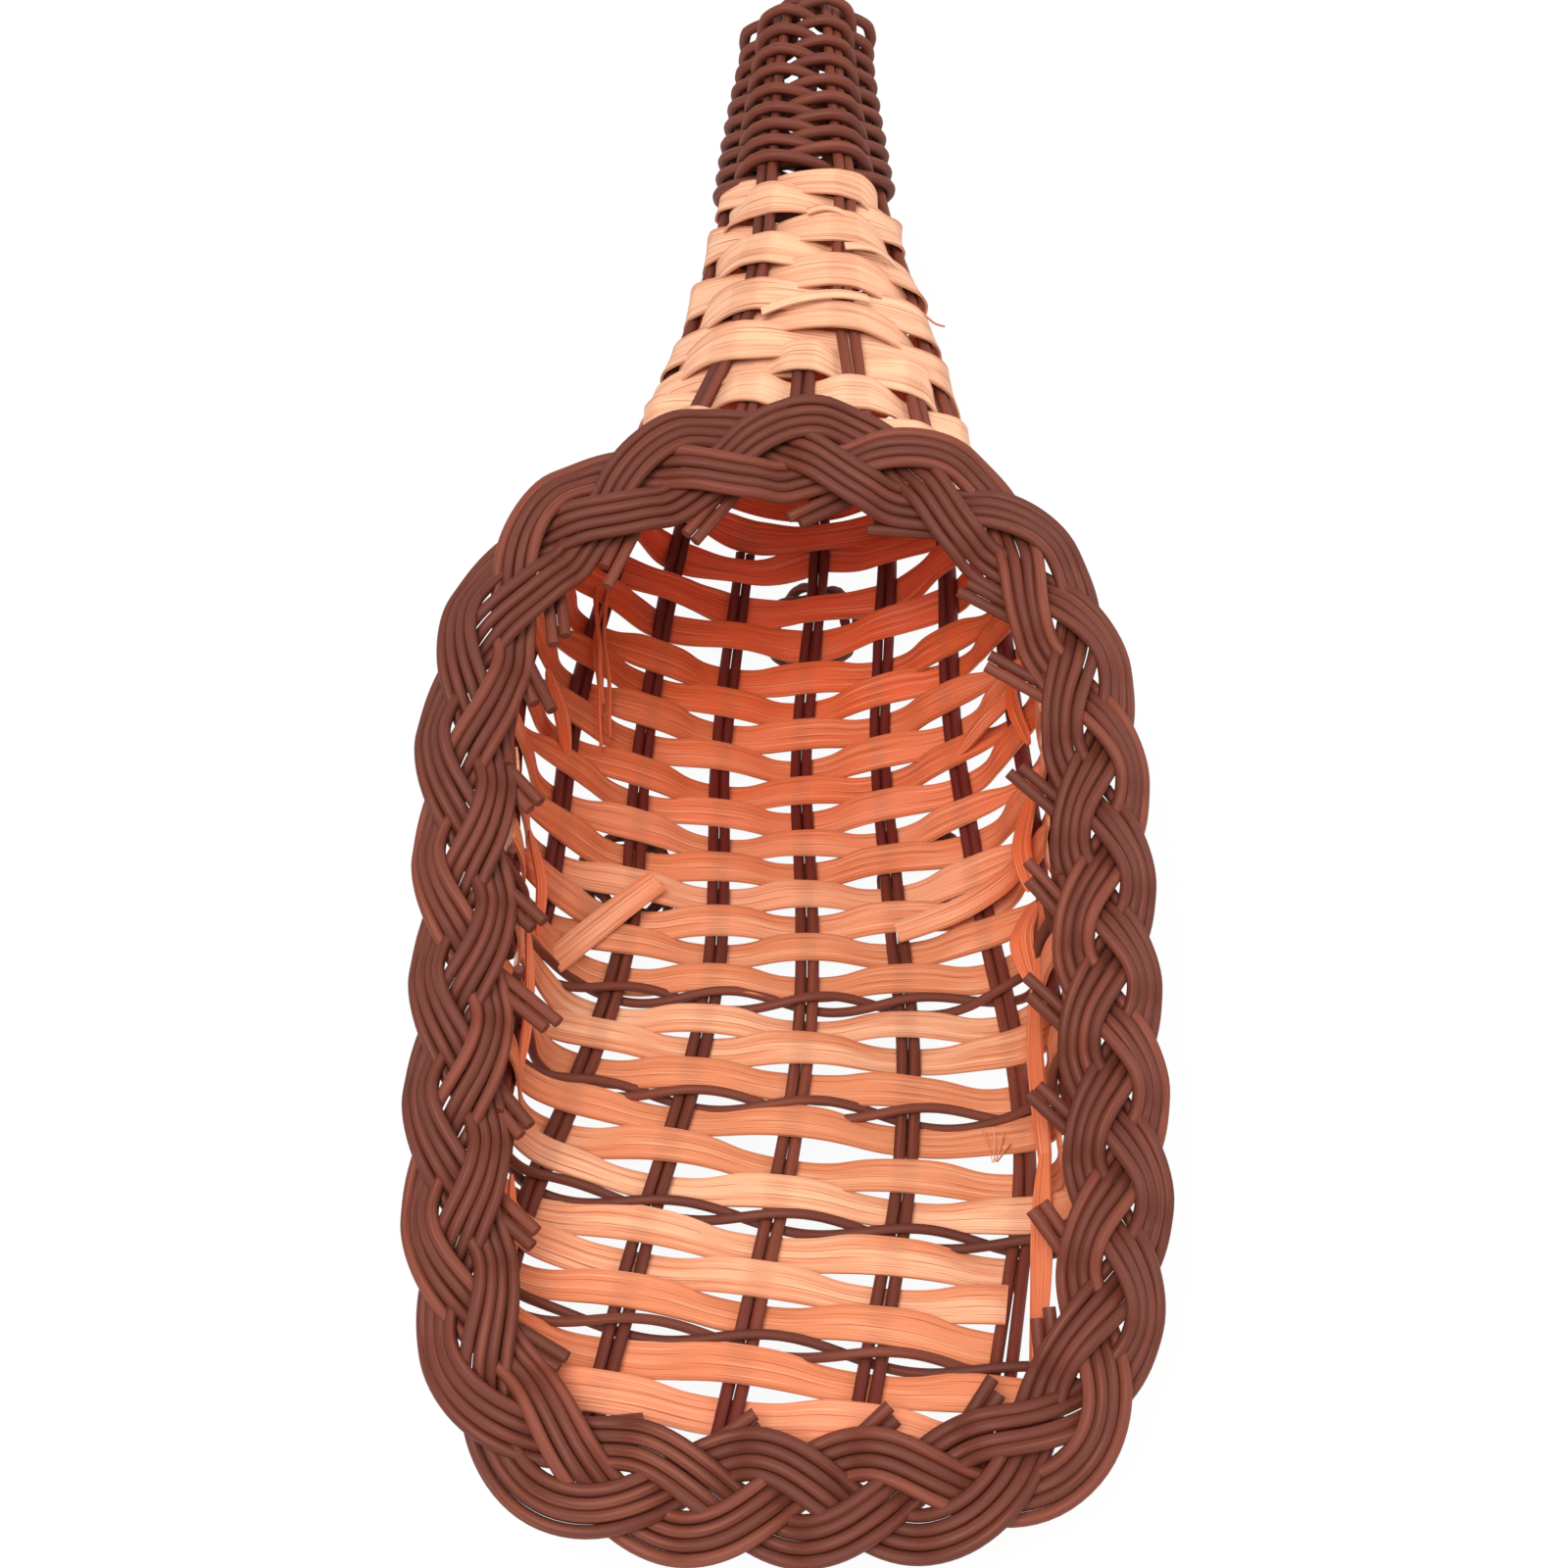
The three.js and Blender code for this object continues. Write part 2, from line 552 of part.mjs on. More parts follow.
// Least gap of a cord to itself, on points set close along its centre line
function leastGap(path, diameter, closed) {
  const points = [];
  const ends = closed ? path.length : path.length - 1;
  for (let i = 0; i < ends; i++) {
    for (const share of [0, 0.25, 0.5, 0.75]) {
      points.push(path[i].point.clone().lerp(path[(i + 1) % path.length].point, share));
    }
  }
  const run = [0];
  for (let i = 1; i < points.length; i++) {
    run.push(run[i - 1] + points[i].distanceTo(points[i - 1]));
  }
  const total = run[run.length - 1];
  let least = Infinity;
  for (let i = 0; i < points.length; i++) {
    for (let j = i + 1; j < points.length; j++) {
      const apart = run[j] - run[i];
      const along = closed ? Math.min(apart, total - apart) : apart;
      if (along > 3 * diameter) {
        least = Math.min(least, points[i].distanceTo(points[j]) - diameter);
      }
    }
  }
  return least;
}

// Border: a flat three-strand plait that follows the rim and lies on the stake ends
const RIM_POINTS = 72;
const rimCurve = new THREE.CatmullRomCurve3(
  Array.from({ length: RIM_POINTS }, (_, i) => {
    const fraction = (i + 0.5) / RIM_POINTS - 0.5;
    return surface(rimAt(fraction), fraction);
  }),
  true,
);

// The lobes of the plait are a little longer on the left than on the right
function plaitAngle(share, strand) {
  const drift = PLAIT_SHIFT + PLAIT_DRIFT * Math.cos(2 * Math.PI * (share - PLAIT_DRIFT_PEAK));
  const turns = PLAIT_REPEATS * share + (strand - drift) / PLAIT_STRANDS;
  return 2 * Math.PI * (turns + 0.25);
}
function makePlaitStrand(strand) {
  const count = PLAIT_REPEATS * PLAIT_STEPS;
  const rise = CHIP_FACE + CLEARANCE + PLAIT_LIFT + CORD_RADIUS;
  const points = [];
  for (let i = 0; i < count; i++) {
    const angle = plaitAngle(i / count, strand);
    const tangent = rimCurve.getTangentAt(i / count);
    const outward = new THREE.Vector3().crossVectors(tangent, mouthNormal).normalize();
    const point = rimCurve.getPointAt(i / count);
    point.addScaledVector(outward, PLAIT_OUTSET + PLAIT_SWING * Math.sin(angle));
    point.addScaledVector(mouthNormal, rise - PLAIT_LIFT * Math.sin(2 * angle));
    points.push(point);
  }
  const path = points.map((point, i) => {
    const forward = points[(i + 1) % count].clone().sub(points[(i + count - 1) % count]);
    return { point, side: forward.cross(mouthNormal).normalize() };
  });
  return sweep(path, bandProfile, true);
}

// Ring feet lie against the belly and are cut flat where they stand
const strandOffset = CORD_RADIUS + RING_GAP / 2;
function ringPath(arc, fraction) {
  const t = tAtArc(arc);
  const { along, out } = axesAt(t, fraction);
  const round = new THREE.Vector3().crossVectors(along, out);
  const centre = surface(t, fraction);
  const span = RING_RADIUS / girthAt(arc);
  const below = [
    surface(tAtArc(arc - RING_RADIUS), fraction),
    surface(tAtArc(arc + RING_RADIUS), fraction),
    surface(t, fraction - span),
    surface(t, fraction + span),
  ].map((point) => centre.clone().sub(point).dot(out));
  const drop = CHIP_FACE + strandOffset + CORD_RADIUS - Math.min(...below);
  centre.addScaledVector(out, drop);
  return Array.from({ length: 2 * RING_STEPS }, (_, i) => {
    const angle = (2 * Math.PI * i) / RING_STEPS;
    const twist = (angle * RING_TWISTS) / 2;
    const radial = along.clone().multiplyScalar(Math.cos(angle)).addScaledVector(round, Math.sin(angle));
    const side = radial.clone().multiplyScalar(Math.cos(twist)).addScaledVector(out, Math.sin(twist));
    const point = centre.clone().addScaledVector(radial, RING_RADIUS).addScaledVector(side, strandOffset);
    return { point, side };
  });
}
const lowest = (path) => Math.min(...path.map(({ point }) => point.z)) - CORD_RADIUS;
const frontRingPath = ringPath(FRONT_RING_ARC, FRONT_RING_FRACTION);
const ground = lowest(frontRingPath) + RING_FLAT;
const rearRingArc = bisect(
  FRONT_RING_ARC,
  WINDING_FROM,
  (arc) => lowest(ringPath(arc, REAR_RING_FRACTION)) < lowest(frontRingPath),
);

const wasm = await Module();
wasm.setup();
function toSolid(geometry) {
  const bare = new THREE.BufferGeometry();
  bare.setAttribute('position', geometry.getAttribute('position').clone());
  bare.setIndex(geometry.getIndex());
  const merged = mergeVertices(bare);
  const vertProperties = Float32Array.from(merged.getAttribute('position').array);
  const triVerts = Uint32Array.from(merged.getIndex().array);
  return new wasm.Manifold(new wasm.Mesh({ numProp: 3, vertProperties, triVerts }));
}
function toGeometry(solid) {
  const { vertProperties, triVerts } = solid.getMesh();
  const geometry = new THREE.BufferGeometry();
  geometry.setAttribute('position', new THREE.Float32BufferAttribute(vertProperties, 3));
  geometry.setIndex(Array.from(triVerts));
  return geometry;
}
function makeRing(path) {
  const reach = 4 * RING_RADIUS;
  const block = new THREE.BoxGeometry(reach, reach, reach);
  const box = new THREE.Box3().setFromPoints(path.map(({ point }) => point));
  const middle = box.getCenter(new THREE.Vector3());
  block.translate(middle.x, middle.y, ground - reach / 2);
  const ring = sweep(path, roundProfile(CORD_RADIUS, 5), true);
  return toGeometry(toSolid(ring).subtract(toSolid(block)));
}

const sideName = (number) => (number < 0 ? `left_${-number}` : number > 0 ? `right_${number}` : 'middle');
for (const number of stakeNumbers) {
  addPiece(`stake_${sideName(number)}`, makeStake(number), brown.clone());
}
const pairings = rows.filter(({ kind }) => kind === 'pairing');
pairings.forEach(({ arc }, i) => {
  addPiece(`pairing_${i + 1}_cord_a`, makePairingCord(arc, 0), brown.clone());
  addPiece(`pairing_${i + 1}_cord_b`, makePairingCord(arc, 1), brown.clone());
});
rows.filter(({ kind }) => kind === 'front').forEach(({ arc }, i) => {
  addPiece(`front_strip_${i + 1}`, makeFrontStrip(arc, i), orange.clone());
});
const bellyArcs = rows.filter(({ kind }) => kind === 'belly').map(({ arc }) => arc);
for (let i = 0; i < bellyArcs.length; i += 2) {
  const turnSide = i % 4 === 0 ? -1 : 1;
  const strip = makeBellyStrip(bellyArcs.slice(i, i + 2), i, turnSide);
  addPiece(`belly_strip_${i / 2 + 1}`, strip, orange.clone());
}
cutInto(STAKES_PER_NECK_PIECE, 0, neckCrossings.length).forEach((cut, i) => {
  addPiece(`neck_strip_${i + 1}`, makeSpiralStrip(cut), orange.clone());
});
cutInto(STAKES_PER_TAIL_PIECE, neckCrossings.length, stripCrossings.length).forEach((cut, i) => {
  addPiece(`tail_strip_${i + 1}`, makeSpiralStrip(cut), orange.clone());
});
const windings = windingPaths();
windings.forEach((path, i) => {
  addPiece(`tail_winding_${i + 1}`, sweep(path, roundProfile(CORD_RADIUS, 5)), brown.clone());
});
for (let strand = 0; strand < PLAIT_STRANDS; strand++) {
  addPiece(`border_strand_${strand + 1}`, makePlaitStrand(strand), brown.clone());
}
addPiece('ring_foot_right', makeRing(frontRingPath), brown.clone());
addPiece('ring_foot_left', makeRing(ringPath(FRONT_RING_ARC, -FRONT_RING_FRACTION)), brown.clone());
const rearRingPath = ringPath(rearRingArc, REAR_RING_FRACTION);
addPiece('ring_foot_rear', makeRing(rearRingPath), brown.clone());

const windingGap = leastGap(windings.flat(), CORD_DIAMETER, false);
console.log(`tail winding: least gap to itself ${windingGap.toFixed(2)} mm`);
const ringGap = leastGap(rearRingPath, CORD_DIAMETER, true);
console.log(`ring foot: least gap to itself ${ringGap.toFixed(2)} mm`);

// The origin is under the middle of the basket, on the surface it stands on
const bounds = new THREE.Box3().setFromObject(basket);
const middle = bounds.getCenter(new THREE.Vector3());
basket.position.set(-middle.x, -middle.y, -ground);

export default basket;
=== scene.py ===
"""Cornucopia basket: woven looks for the horn, its border, tail and feet."""

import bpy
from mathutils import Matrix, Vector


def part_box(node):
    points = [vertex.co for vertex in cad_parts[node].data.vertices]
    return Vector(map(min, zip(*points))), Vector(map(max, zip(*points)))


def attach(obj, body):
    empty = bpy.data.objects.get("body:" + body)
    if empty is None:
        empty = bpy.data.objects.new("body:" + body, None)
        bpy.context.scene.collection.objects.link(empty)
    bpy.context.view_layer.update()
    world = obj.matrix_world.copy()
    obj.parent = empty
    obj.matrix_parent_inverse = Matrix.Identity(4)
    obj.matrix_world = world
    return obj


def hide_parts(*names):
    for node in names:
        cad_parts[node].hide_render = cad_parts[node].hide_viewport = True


bl_info = {
    "name": "Cornucopia basket",
    "version": (1, 0, 0),
    "blender": (4, 5, 0),
    "location": "View3D > Sidebar > Basket",
    "description": "Weaves a horn basket of cord and wood chip round its solid frame",
    "category": "Object",
}

import math

import bmesh
import bpy
import numpy as np

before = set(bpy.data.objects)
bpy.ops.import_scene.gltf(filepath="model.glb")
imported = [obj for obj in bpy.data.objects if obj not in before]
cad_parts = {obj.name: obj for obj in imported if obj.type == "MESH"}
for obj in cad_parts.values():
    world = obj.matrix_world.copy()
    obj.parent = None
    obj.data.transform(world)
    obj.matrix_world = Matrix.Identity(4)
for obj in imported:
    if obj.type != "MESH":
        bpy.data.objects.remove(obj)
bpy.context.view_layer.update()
MM = 0.001

# Horn sections from the tail tip to the lip, in millimetres: floor line, crown line, then half
# width, middle to the right and squareness of the lower and the upper half. SHIFT takes them to the
# frame of the part.
SHIFT = np.array((0.552, -148.329, 5.287))
HORN_FLOOR = (
    (309.5, 63.0), (303.3, 57.5), (281.0, 49.3), (254.0, 40.3), (230.0, 24.0), (211.5, 10.3),
    (188.0, 1.2), (159.5, -2.5), (127.6, 0.0), (88.0, 5.3), (44.0, 11.0), (6.6, 15.8),
    (-17.6, 19.1),
)
HORN_CROWN = (
    (307.5, 79.5), (300.0, 82.8), (275.5, 82.3), (248.0, 80.3), (220.5, 78.1), (199.5, 75.2),
    (171.6, 69.0), (152.0, 73.5), (127.6, 76.0), (88.0, 78.0), (44.0, 79.2), (6.6, 81.4),
    (-17.6, 81.4),
)
HORN_GIRTH = (
    (8.2, 6.0, 2.0, 2.0), (10.8, 5.0, 2.0, 2.0), (14.0, 4.2, 2.0, 2.0), (17.6, 4.4, 2.0, 2.0),
    (25.0, 4.6, 1.9, 2.0), (32.0, 3.8, 1.7, 2.1), (41.5, 0.6, 1.6, 2.4), (48.6, -1.4, 1.7, 2.7),
    (49.8, -0.8, 2.5, 2.9), (47.8, 0.0, 2.9, 2.9), (48.4, 0.4, 3.5, 3.0), (48.4, 1.0, 4.0, 3.2),
    (47.6, 1.2, 4.0, 3.2),
)
# Squareness of the lower half in the last sections of the weave, which bends up more sharply at the
# sides of the front floor than the line of the border does
WOVEN_CORNERS = (5.2, 7.5, 8.0, 8.0)
MOUTH_LIP = (4.0, 16.2)
MOUTH_CROWN = (171.6, 69.0)

# Weave of the frame: skew of the front, stakes round the horn, rows from the lip, winding and lean of
# the tail, plait of the border and ring feet
ROW_SKEW, STAKE_LEAN, SKEW_FROM, SKEW_TO = 0.15, 0.2, 40.0, 125.0
STAKE_COUNT, STAKES_PER_SIDE = 15, 7
STAKE_SHIFT, STAKE_SPACING, FRONT_STAKE_SPACING = 5.0, 17.0, 22.0
FIRST_ROW, ROW_PITCH, ROW_WIDTH, PAIRING_PITCH, PAIRING_WIDTH = 5.0, 7.0, 6.6, 3.8, 3.4
STRIPS_BEFORE_PAIRING = (2, 3, 3, 3)
NECK_TURNS = 4
WINDING_START, WINDING_END, WINDING_PITCH, WINDING_DELAY = 3.0, 56.0, 2.4, 4.0
TAIL_LEAN, LEAN_RISES, LEAN_FADES = 8.0, (5.0, 55.0), (40.0, 4.0)
PLAIT_STRANDS, PLAIT_REPEATS = 3, 8
PLAIT_SHIFT, PLAIT_DRIFT, PLAIT_DRIFT_PEAK = 0.95, 0.43, 0.36
RING_RADIUS, RING_TWISTS = 8.6, 7

# Starts of the random draws
STAKE_SEED, PAIRING_SEED, FRONT_SEED, BELLY_SEED = 300, 500, 700, 800
NECK_SEED, TAIL_SEED, WINDING_SEED, BORDER_SEED = 900, 901, 950, 1000


def unit(vectors):
    return vectors / np.linalg.norm(vectors, axis=-1, keepdims=True)


def smoothstep(value, low, high):
    share = np.clip((value - low) / (high - low), 0.0, 1.0)
    return share * share * (3 - 2 * share)


def spline(values, t):
    """Smooth line through evenly numbered points, t running from 0 to 1."""
    values = np.asarray(values, float)
    last = len(values) - 1
    place = np.clip(t, 0, 1) * last
    index = np.minimum(place.astype(int), last - 1)
    share = (place - index)[:, None]
    before, start, end = values[np.maximum(index - 1, 0)], values[index], values[index + 1]
    after = values[np.minimum(index + 2, last)]
    leave, arrive = (end - before) / 2, (after - start) / 2
    return (
        start + leave * share
        + (3 * (end - start) - 2 * leave - arrive) * share**2
        + (2 * (start - end) + leave + arrive) * share**3
    )


def run_length(points):
    """Length of a line of points from its start to each of them."""
    return np.concatenate(([0], np.cumsum(np.linalg.norm(np.diff(points, axis=0), axis=1))))


def resample(points, run, places):
    """Points of a line at given lengths along it."""
    return np.column_stack([np.interp(places, run, points[:, axis]) for axis in range(3)])


def loop_ahead(points):
    """Directions along a closed line of points."""
    return unit(np.roll(points, -1, axis=0) - np.roll(points, 1, axis=0))


def soften(values, width):
    """Values that are each averaged with their neighbours."""
    kernel = np.hanning(width + 2)
    padded = np.pad(values, width, mode="edge")
    return np.convolve(padded, kernel / kernel.sum(), mode="same")[width:-width]


def wobble(rng, run, step, amount):
    """Soft random wave along a length, with a node every step."""
    nodes = np.arange(run[0] - step, run[-1] + 2 * step, step)
    rough = np.interp(run, nodes, rng.normal(0, amount, len(nodes)))
    return soften(rough, int(step / (run[1] - run[0])))


class Horn:
    """The basket's wall as a surface: arc in mm along the floor from the lip, fraction of the girth."""

    COLUMNS, FLOOR_POINTS, HALF_POINTS = 320, 1601, 241
    BEFORE_LIP, TIP_ROWS = 24.0, 9

    def __init__(self, sections):
        self.sections = sections
        t = np.linspace(0, 1, self.FLOOR_POINTS)
        floor = spline(HORN_FLOOR, t)
        run = run_length(floor)
        slope = math.atan2(MOUTH_CROWN[1] - MOUTH_LIP[1], MOUTH_CROWN[0] - MOUTH_LIP[0])
        self.mouth_normal = np.array((0, -math.sin(slope), math.cos(slope)))
        self.mouth_point = np.array((0, *MOUTH_LIP)) + SHIFT
        height = self.above_mouth(np.column_stack((np.zeros(len(t)), floor)) + SHIFT)
        front = slice(len(t) // 2, None)
        self.length = np.interp(np.interp(0, height[front], t[front]), t, run)
        self.arcs = np.arange(-self.BEFORE_LIP, self.length + 0.5, 1.0)
        rows = [self._section(np.interp(self.length - arc, run, t)) for arc in self.arcs]
        self.grid = np.array([points for points, _ in rows])
        self.girths = np.array([girth for _, girth in rows])
        around = np.roll(self.grid, -2, axis=1) - np.roll(self.grid, 2, axis=1)
        self.outs = unit(np.cross(around, -np.gradient(self.grid, axis=0)))
        self.rims = self._find_rim()
        self.neck = float(self.rims[0])
        self.tip = self.grid[-1].mean(axis=0)
        self.tip_axis = unit(self.tip - self.grid[-self.TIP_ROWS].mean(axis=0))

    def _section(self, t):
        lines = (HORN_FLOOR, HORN_CROWN, self.sections)
        floor, crown, girth = (spline(line, np.array([t]))[0] for line in lines)
        half, middle, below, above = girth
        angle = np.linspace(0, math.pi, self.HALF_POINTS)
        power = 2 / np.where(angle < math.pi / 2, below, above)
        across = half * np.abs(np.sin(angle)) ** power
        rise = 0.5 - 0.5 * np.sign(np.cos(angle)) * np.abs(np.cos(angle)) ** power
        line = np.column_stack((across, floor + (crown - floor) * rise[:, None]))
        run = run_length(line)
        fraction = np.arange(self.COLUMNS) / self.COLUMNS - 0.5
        points = resample(line, run, np.abs(fraction) * 2 * run[-1])
        points[:, 0] = middle + points[:, 0] * np.sign(fraction)
        return points + SHIFT, 2 * run[-1]

    def _find_rim(self):
        rims = []
        for column in range(self.COLUMNS):
            height = self.above_mouth(self.grid[:, column])
            last = int(np.nonzero(height > 0)[0][-1])
            share = height[last] / (height[last] - height[last + 1])
            rims.append(self.arcs[last] + share)
        return np.array(rims)

    def above_mouth(self, points):
        return (points - self.mouth_point) @ self.mouth_normal

    def _mix(self, table, arc, fraction):
        arc, fraction = np.broadcast_arrays(np.asarray(arc, float), np.asarray(fraction, float))
        row = np.clip(arc - self.arcs[0], 0, len(self.arcs) - 1.001)
        column = ((fraction + 0.5) % 1.0) * self.COLUMNS
        i, j = row.astype(int), column.astype(int) % self.COLUMNS
        u, v = (row - i)[..., None], (column - np.floor(column))[..., None]
        k = (j + 1) % self.COLUMNS
        return (table[i, j] * (1 - u) + table[i + 1, j] * u) * (1 - v) + (
            table[i, k] * (1 - u) + table[i + 1, k] * u
        ) * v

    def out(self, arc, fraction):
        return unit(self._mix(self.outs, arc, fraction))

    def point(self, arc, fraction, lift=0.0):
        lift = np.asarray(lift, float)[..., None]
        return self._mix(self.grid, arc, fraction) + self.out(arc, fraction) * lift

    def girth(self, arc):
        return np.interp(arc, self.arcs, self.girths)

    def rim(self, fraction):
        columns = np.arange(self.COLUMNS + 1) / self.COLUMNS - 0.5
        wrapped = (np.asarray(fraction) + 0.5) % 1.0 - 0.5
        return np.interp(wrapped, columns, np.append(self.rims, self.rims[0]))


def woven_sections():
    """The sections of the horn with the weave's own corners at the front."""
    front = len(HORN_GIRTH) - len(WOVEN_CORNERS)
    pairs = zip(HORN_GIRTH[front:], WOVEN_CORNERS)
    return HORN_GIRTH[:front] + tuple((*row[:2], below, row[3]) for row, below in pairs)


horn, mouth = Horn(woven_sections()), Horn(HORN_GIRTH)
WINDING_FROM = horn.length - WINDING_END


def row_arc(arc, fraction):
    """Rows on the front floor fall to the right: their arc shifts with the place round the horn."""
    wrapped = fraction - np.round(fraction)
    return arc - ROW_SKEW * (1 - smoothstep(arc, SKEW_FROM, SKEW_TO)) * wrapped * horn.girth(arc)


def stake_fraction(number, arc):
    """Place of a stake round the horn: spaced along the floor, evenly spaced in the tail."""
    girth = horn.girth(arc)
    closing = smoothstep(arc, SKEW_FROM, SKEW_TO)
    spacing = FRONT_STAKE_SPACING + (STAKE_SPACING - FRONT_STAKE_SPACING) * closing
    half = STAKE_COUNT / 2
    spread = spacing / girth * number + (0.5 - spacing / girth * half) * (number / half) ** 3
    share = np.clip((arc - SKEW_FROM) / (SKEW_TO - SKEW_FROM), 0, 1)
    fading = (SKEW_TO - SKEW_FROM) * (0.5 - share + share**3 - share**4 / 2)
    spread = spread + (STAKE_SHIFT - STAKE_LEAN * (fading + np.maximum(SKEW_FROM - arc, 0))) / girth
    even = number / (STAKE_COUNT - 1 if number % 2 == 0 else STAKE_COUNT)
    return spread + (even - spread) * smoothstep(arc, horn.neck, WINDING_FROM)


def tail_arc(arc, fraction):
    """Rows of the tail lean towards the mouth on top and towards the tip below."""
    rise = smoothstep(arc, *(horn.neck + place for place in LEAN_RISES))
    fade = smoothstep(arc, *(horn.length - place for place in LEAN_FADES))
    return arc + TAIL_LEAN * (rise * (1 - fade)) * np.cos(2 * np.pi * fraction)


def crossing(number, arc, rounds=6):
    """Fraction at which a stake crosses a row, found by going back and forth between the two."""
    fraction = stake_fraction(number, arc)
    for _ in range(rounds):
        fraction = stake_fraction(number, row_arc(arc, fraction))
    return float(fraction)


def row_places():
    """Arcs of the front strips, the pairings and the belly strips, and where the spirals start."""
    front, pairings, belly = [], [], []
    arc = FIRST_ROW
    for strips in STRIPS_BEFORE_PAIRING:
        for _ in range(strips):
            front.append(arc + ROW_WIDTH / 2)
            arc += ROW_PITCH
        pairings.append(arc + PAIRING_WIDTH / 2)
        arc += PAIRING_PITCH
    while arc + ROW_WIDTH < horn.neck:
        belly.append(arc + ROW_WIDTH / 2)
        arc += ROW_PITCH
    return front, pairings, belly, arc


FRONT_ARCS, PAIRING_ARCS, BELLY_ARCS, SPIRAL_FROM = row_places()
STAKE_NUMBERS = range(-STAKES_PER_SIDE, STAKES_PER_SIDE + 1)
TAIL_NUMBERS = [number for number in STAKE_NUMBERS if number % 2 == 0]


def neck_rise(number):
    """How far up the neck the spiral has come when it passes a stake for the last time."""
    return ROW_PITCH * (NECK_TURNS + (number + STAKES_PER_SIDE) / STAKE_COUNT)


# Fractions of the girth, from beside the floor to the crown, that are searched for the rim
SPAN_FROM, SPAN_TO, SPAN_POINTS = 0.02, 0.4999, 700


def row_span(arc, width):
    """Fractions of the girth at which a row meets the rim on the left and on the right."""
    steps = np.linspace(SPAN_FROM, SPAN_TO, SPAN_POINTS)
    ends = []
    for side in (-1, 1):
        inside = np.ones(len(steps), bool)
        for edge in (-width / 2, width / 2):
            inside &= row_arc(arc + edge, side * steps) > horn.rim(side * steps)
        ends.append(side * (steps[-1] if inside.all() else steps[int(np.argmin(inside))]))
    return ends


class Weave:
    """Mesh under construction: cords and strips that belong to one piece."""

    CORD_SIDES, STRIP_COLUMNS, STRIP_BOW = 8, 5, 0.12
    GRAIN_SHIFT, WELD_DISTANCE, CREASE = 37.0, 1e-7, math.radians(55)

    def __init__(self):
        self.bm = bmesh.new()
        layers = self.bm.verts.layers
        self.grain = layers.float_vector.new("grain")
        self.tint = layers.float.new("tint")
        # painted shade and light as a warmer or paler colour; over marks painted shade where a stake lies
        # behind
        self.shade_warm = layers.float.new("shade_warm")
        self.over = layers.float.new("over")
        self.edge = layers.float.new("edge")

    def sweep(self, spine, side, shape, grain, tint, shade_warm=0.0, over=0.0, edge=None, closed=False):
        """Bend a flat grid into a skin that carries the shape along the spine."""
        count, ring = len(spine), shape.shape[1]
        ahead = loop_ahead(spine) if closed else unit(np.gradient(spine, axis=0))
        up = unit(np.cross(ahead, side))
        across = np.cross(up, ahead)
        places = spine[:, None] + across[:, None] * shape[..., :1] + up[:, None] * shape[..., 1:]
        run = run_length(spine) + self.GRAIN_SHIFT * tint
        shade_warm = shade_warm if np.ndim(shade_warm) == 2 else np.reshape(shade_warm, (-1, 1))
        shade_warm, over = np.broadcast_to(shade_warm, (count, ring)), np.broadcast_to(over, (count,))
        rows = count if closed else count - 1
        made = bmesh.ops.create_grid(self.bm, x_segments=ring, y_segments=rows, size=1.0)
        for vert in made["verts"]:
            i = round((vert.co.x + 1) / 2 * ring) % ring
            j = round((vert.co.y + 1) / 2 * rows) % count
            vert.co = places[j, i] * MM
            vert[self.grain] = (grain[i][0], grain[i][1], run[j])
            vert[self.tint] = tint
            vert[self.shade_warm] = shade_warm[j, i]
            vert[self.over] = over[j]
            vert[self.edge] = 0.0 if edge is None else edge[i]

    def cord(self, spine, side, radius, tint, shade_warm=0.0, closed=False):
        angle = np.linspace(0, 2 * math.pi, self.CORD_SIDES, endpoint=False)
        circle = np.column_stack((np.cos(angle), np.sin(angle)))
        radius = np.broadcast_to(radius, (len(spine),))[:, None, None]
        self.sweep(spine, side, circle[None] * radius, circle, tint, shade_warm, closed=closed)

    def strip(self, spine, side, half_width, thickness, tint, shade_warm, over=0.0, outer=None):
        """A flat strip; the outer side, its lower one here, can have a painted shade or light of its own."""
        across = np.linspace(-1.0, 1.0, self.STRIP_COLUMNS)
        bow = self.STRIP_BOW * (1 - across**2)
        profile = np.concatenate((
            np.column_stack((across, bow + thickness / 2)),
            np.column_stack((across[::-1], bow[::-1] - thickness / 2)),
        ))
        shape = np.repeat(profile[None], len(spine), axis=0)
        shape[..., 0] *= np.broadcast_to(half_width, (len(spine),))[:, None]
        shade_warm = np.repeat(shade_warm[:, None], len(profile), axis=1)
        if outer is not None:
            shade_warm[:, len(across):] = np.reshape(outer, (-1, 1))
        faces = np.repeat((1.0, -1.0), len(across))
        grain = np.column_stack((profile[:, 0] * float(np.mean(half_width)), faces))
        self.sweep(spine, side, shape, grain, tint, shade_warm, over, np.abs(profile[:, 0]))

    def finish(self, name, finish, slot, nodes):
        """Close the skins, make them an object and tie it to the frame."""
        bm = self.bm
        bmesh.ops.remove_doubles(bm, verts=bm.verts, dist=self.WELD_DISTANCE)
        bmesh.ops.holes_fill(bm, edges=[edge for edge in bm.edges if edge.is_boundary], sides=0)
        bmesh.ops.recalc_face_normals(bm, faces=bm.faces)
        for face in bm.faces:
            face.smooth = True
        for edge in bm.edges:
            if len(edge.link_faces) == 2 and edge.calc_face_angle(0) > self.CREASE:
                edge.smooth = False
        mesh = bpy.data.meshes.new(name)
        bm.to_mesh(mesh)
        bm.free()
        mesh.materials.append(finish)
        piece = bpy.data.objects.new(name, mesh)
        bpy.context.scene.collection.objects.link(piece)
        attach(piece, "root")
        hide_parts(*nodes)


def both_ways(operation):
    """A wire's operator and its reflected form, each of which adds a Math node."""

    def maths(finish, first, second):
        return finish.node("ShaderNodeMath", {"operation": operation}, {0: first, 1: second})[0]

    def forward(self, other):
        return maths(self.finish, self, other)

    def reflected(self, other):
        return maths(self.finish, other, self)

    return forward, reflected


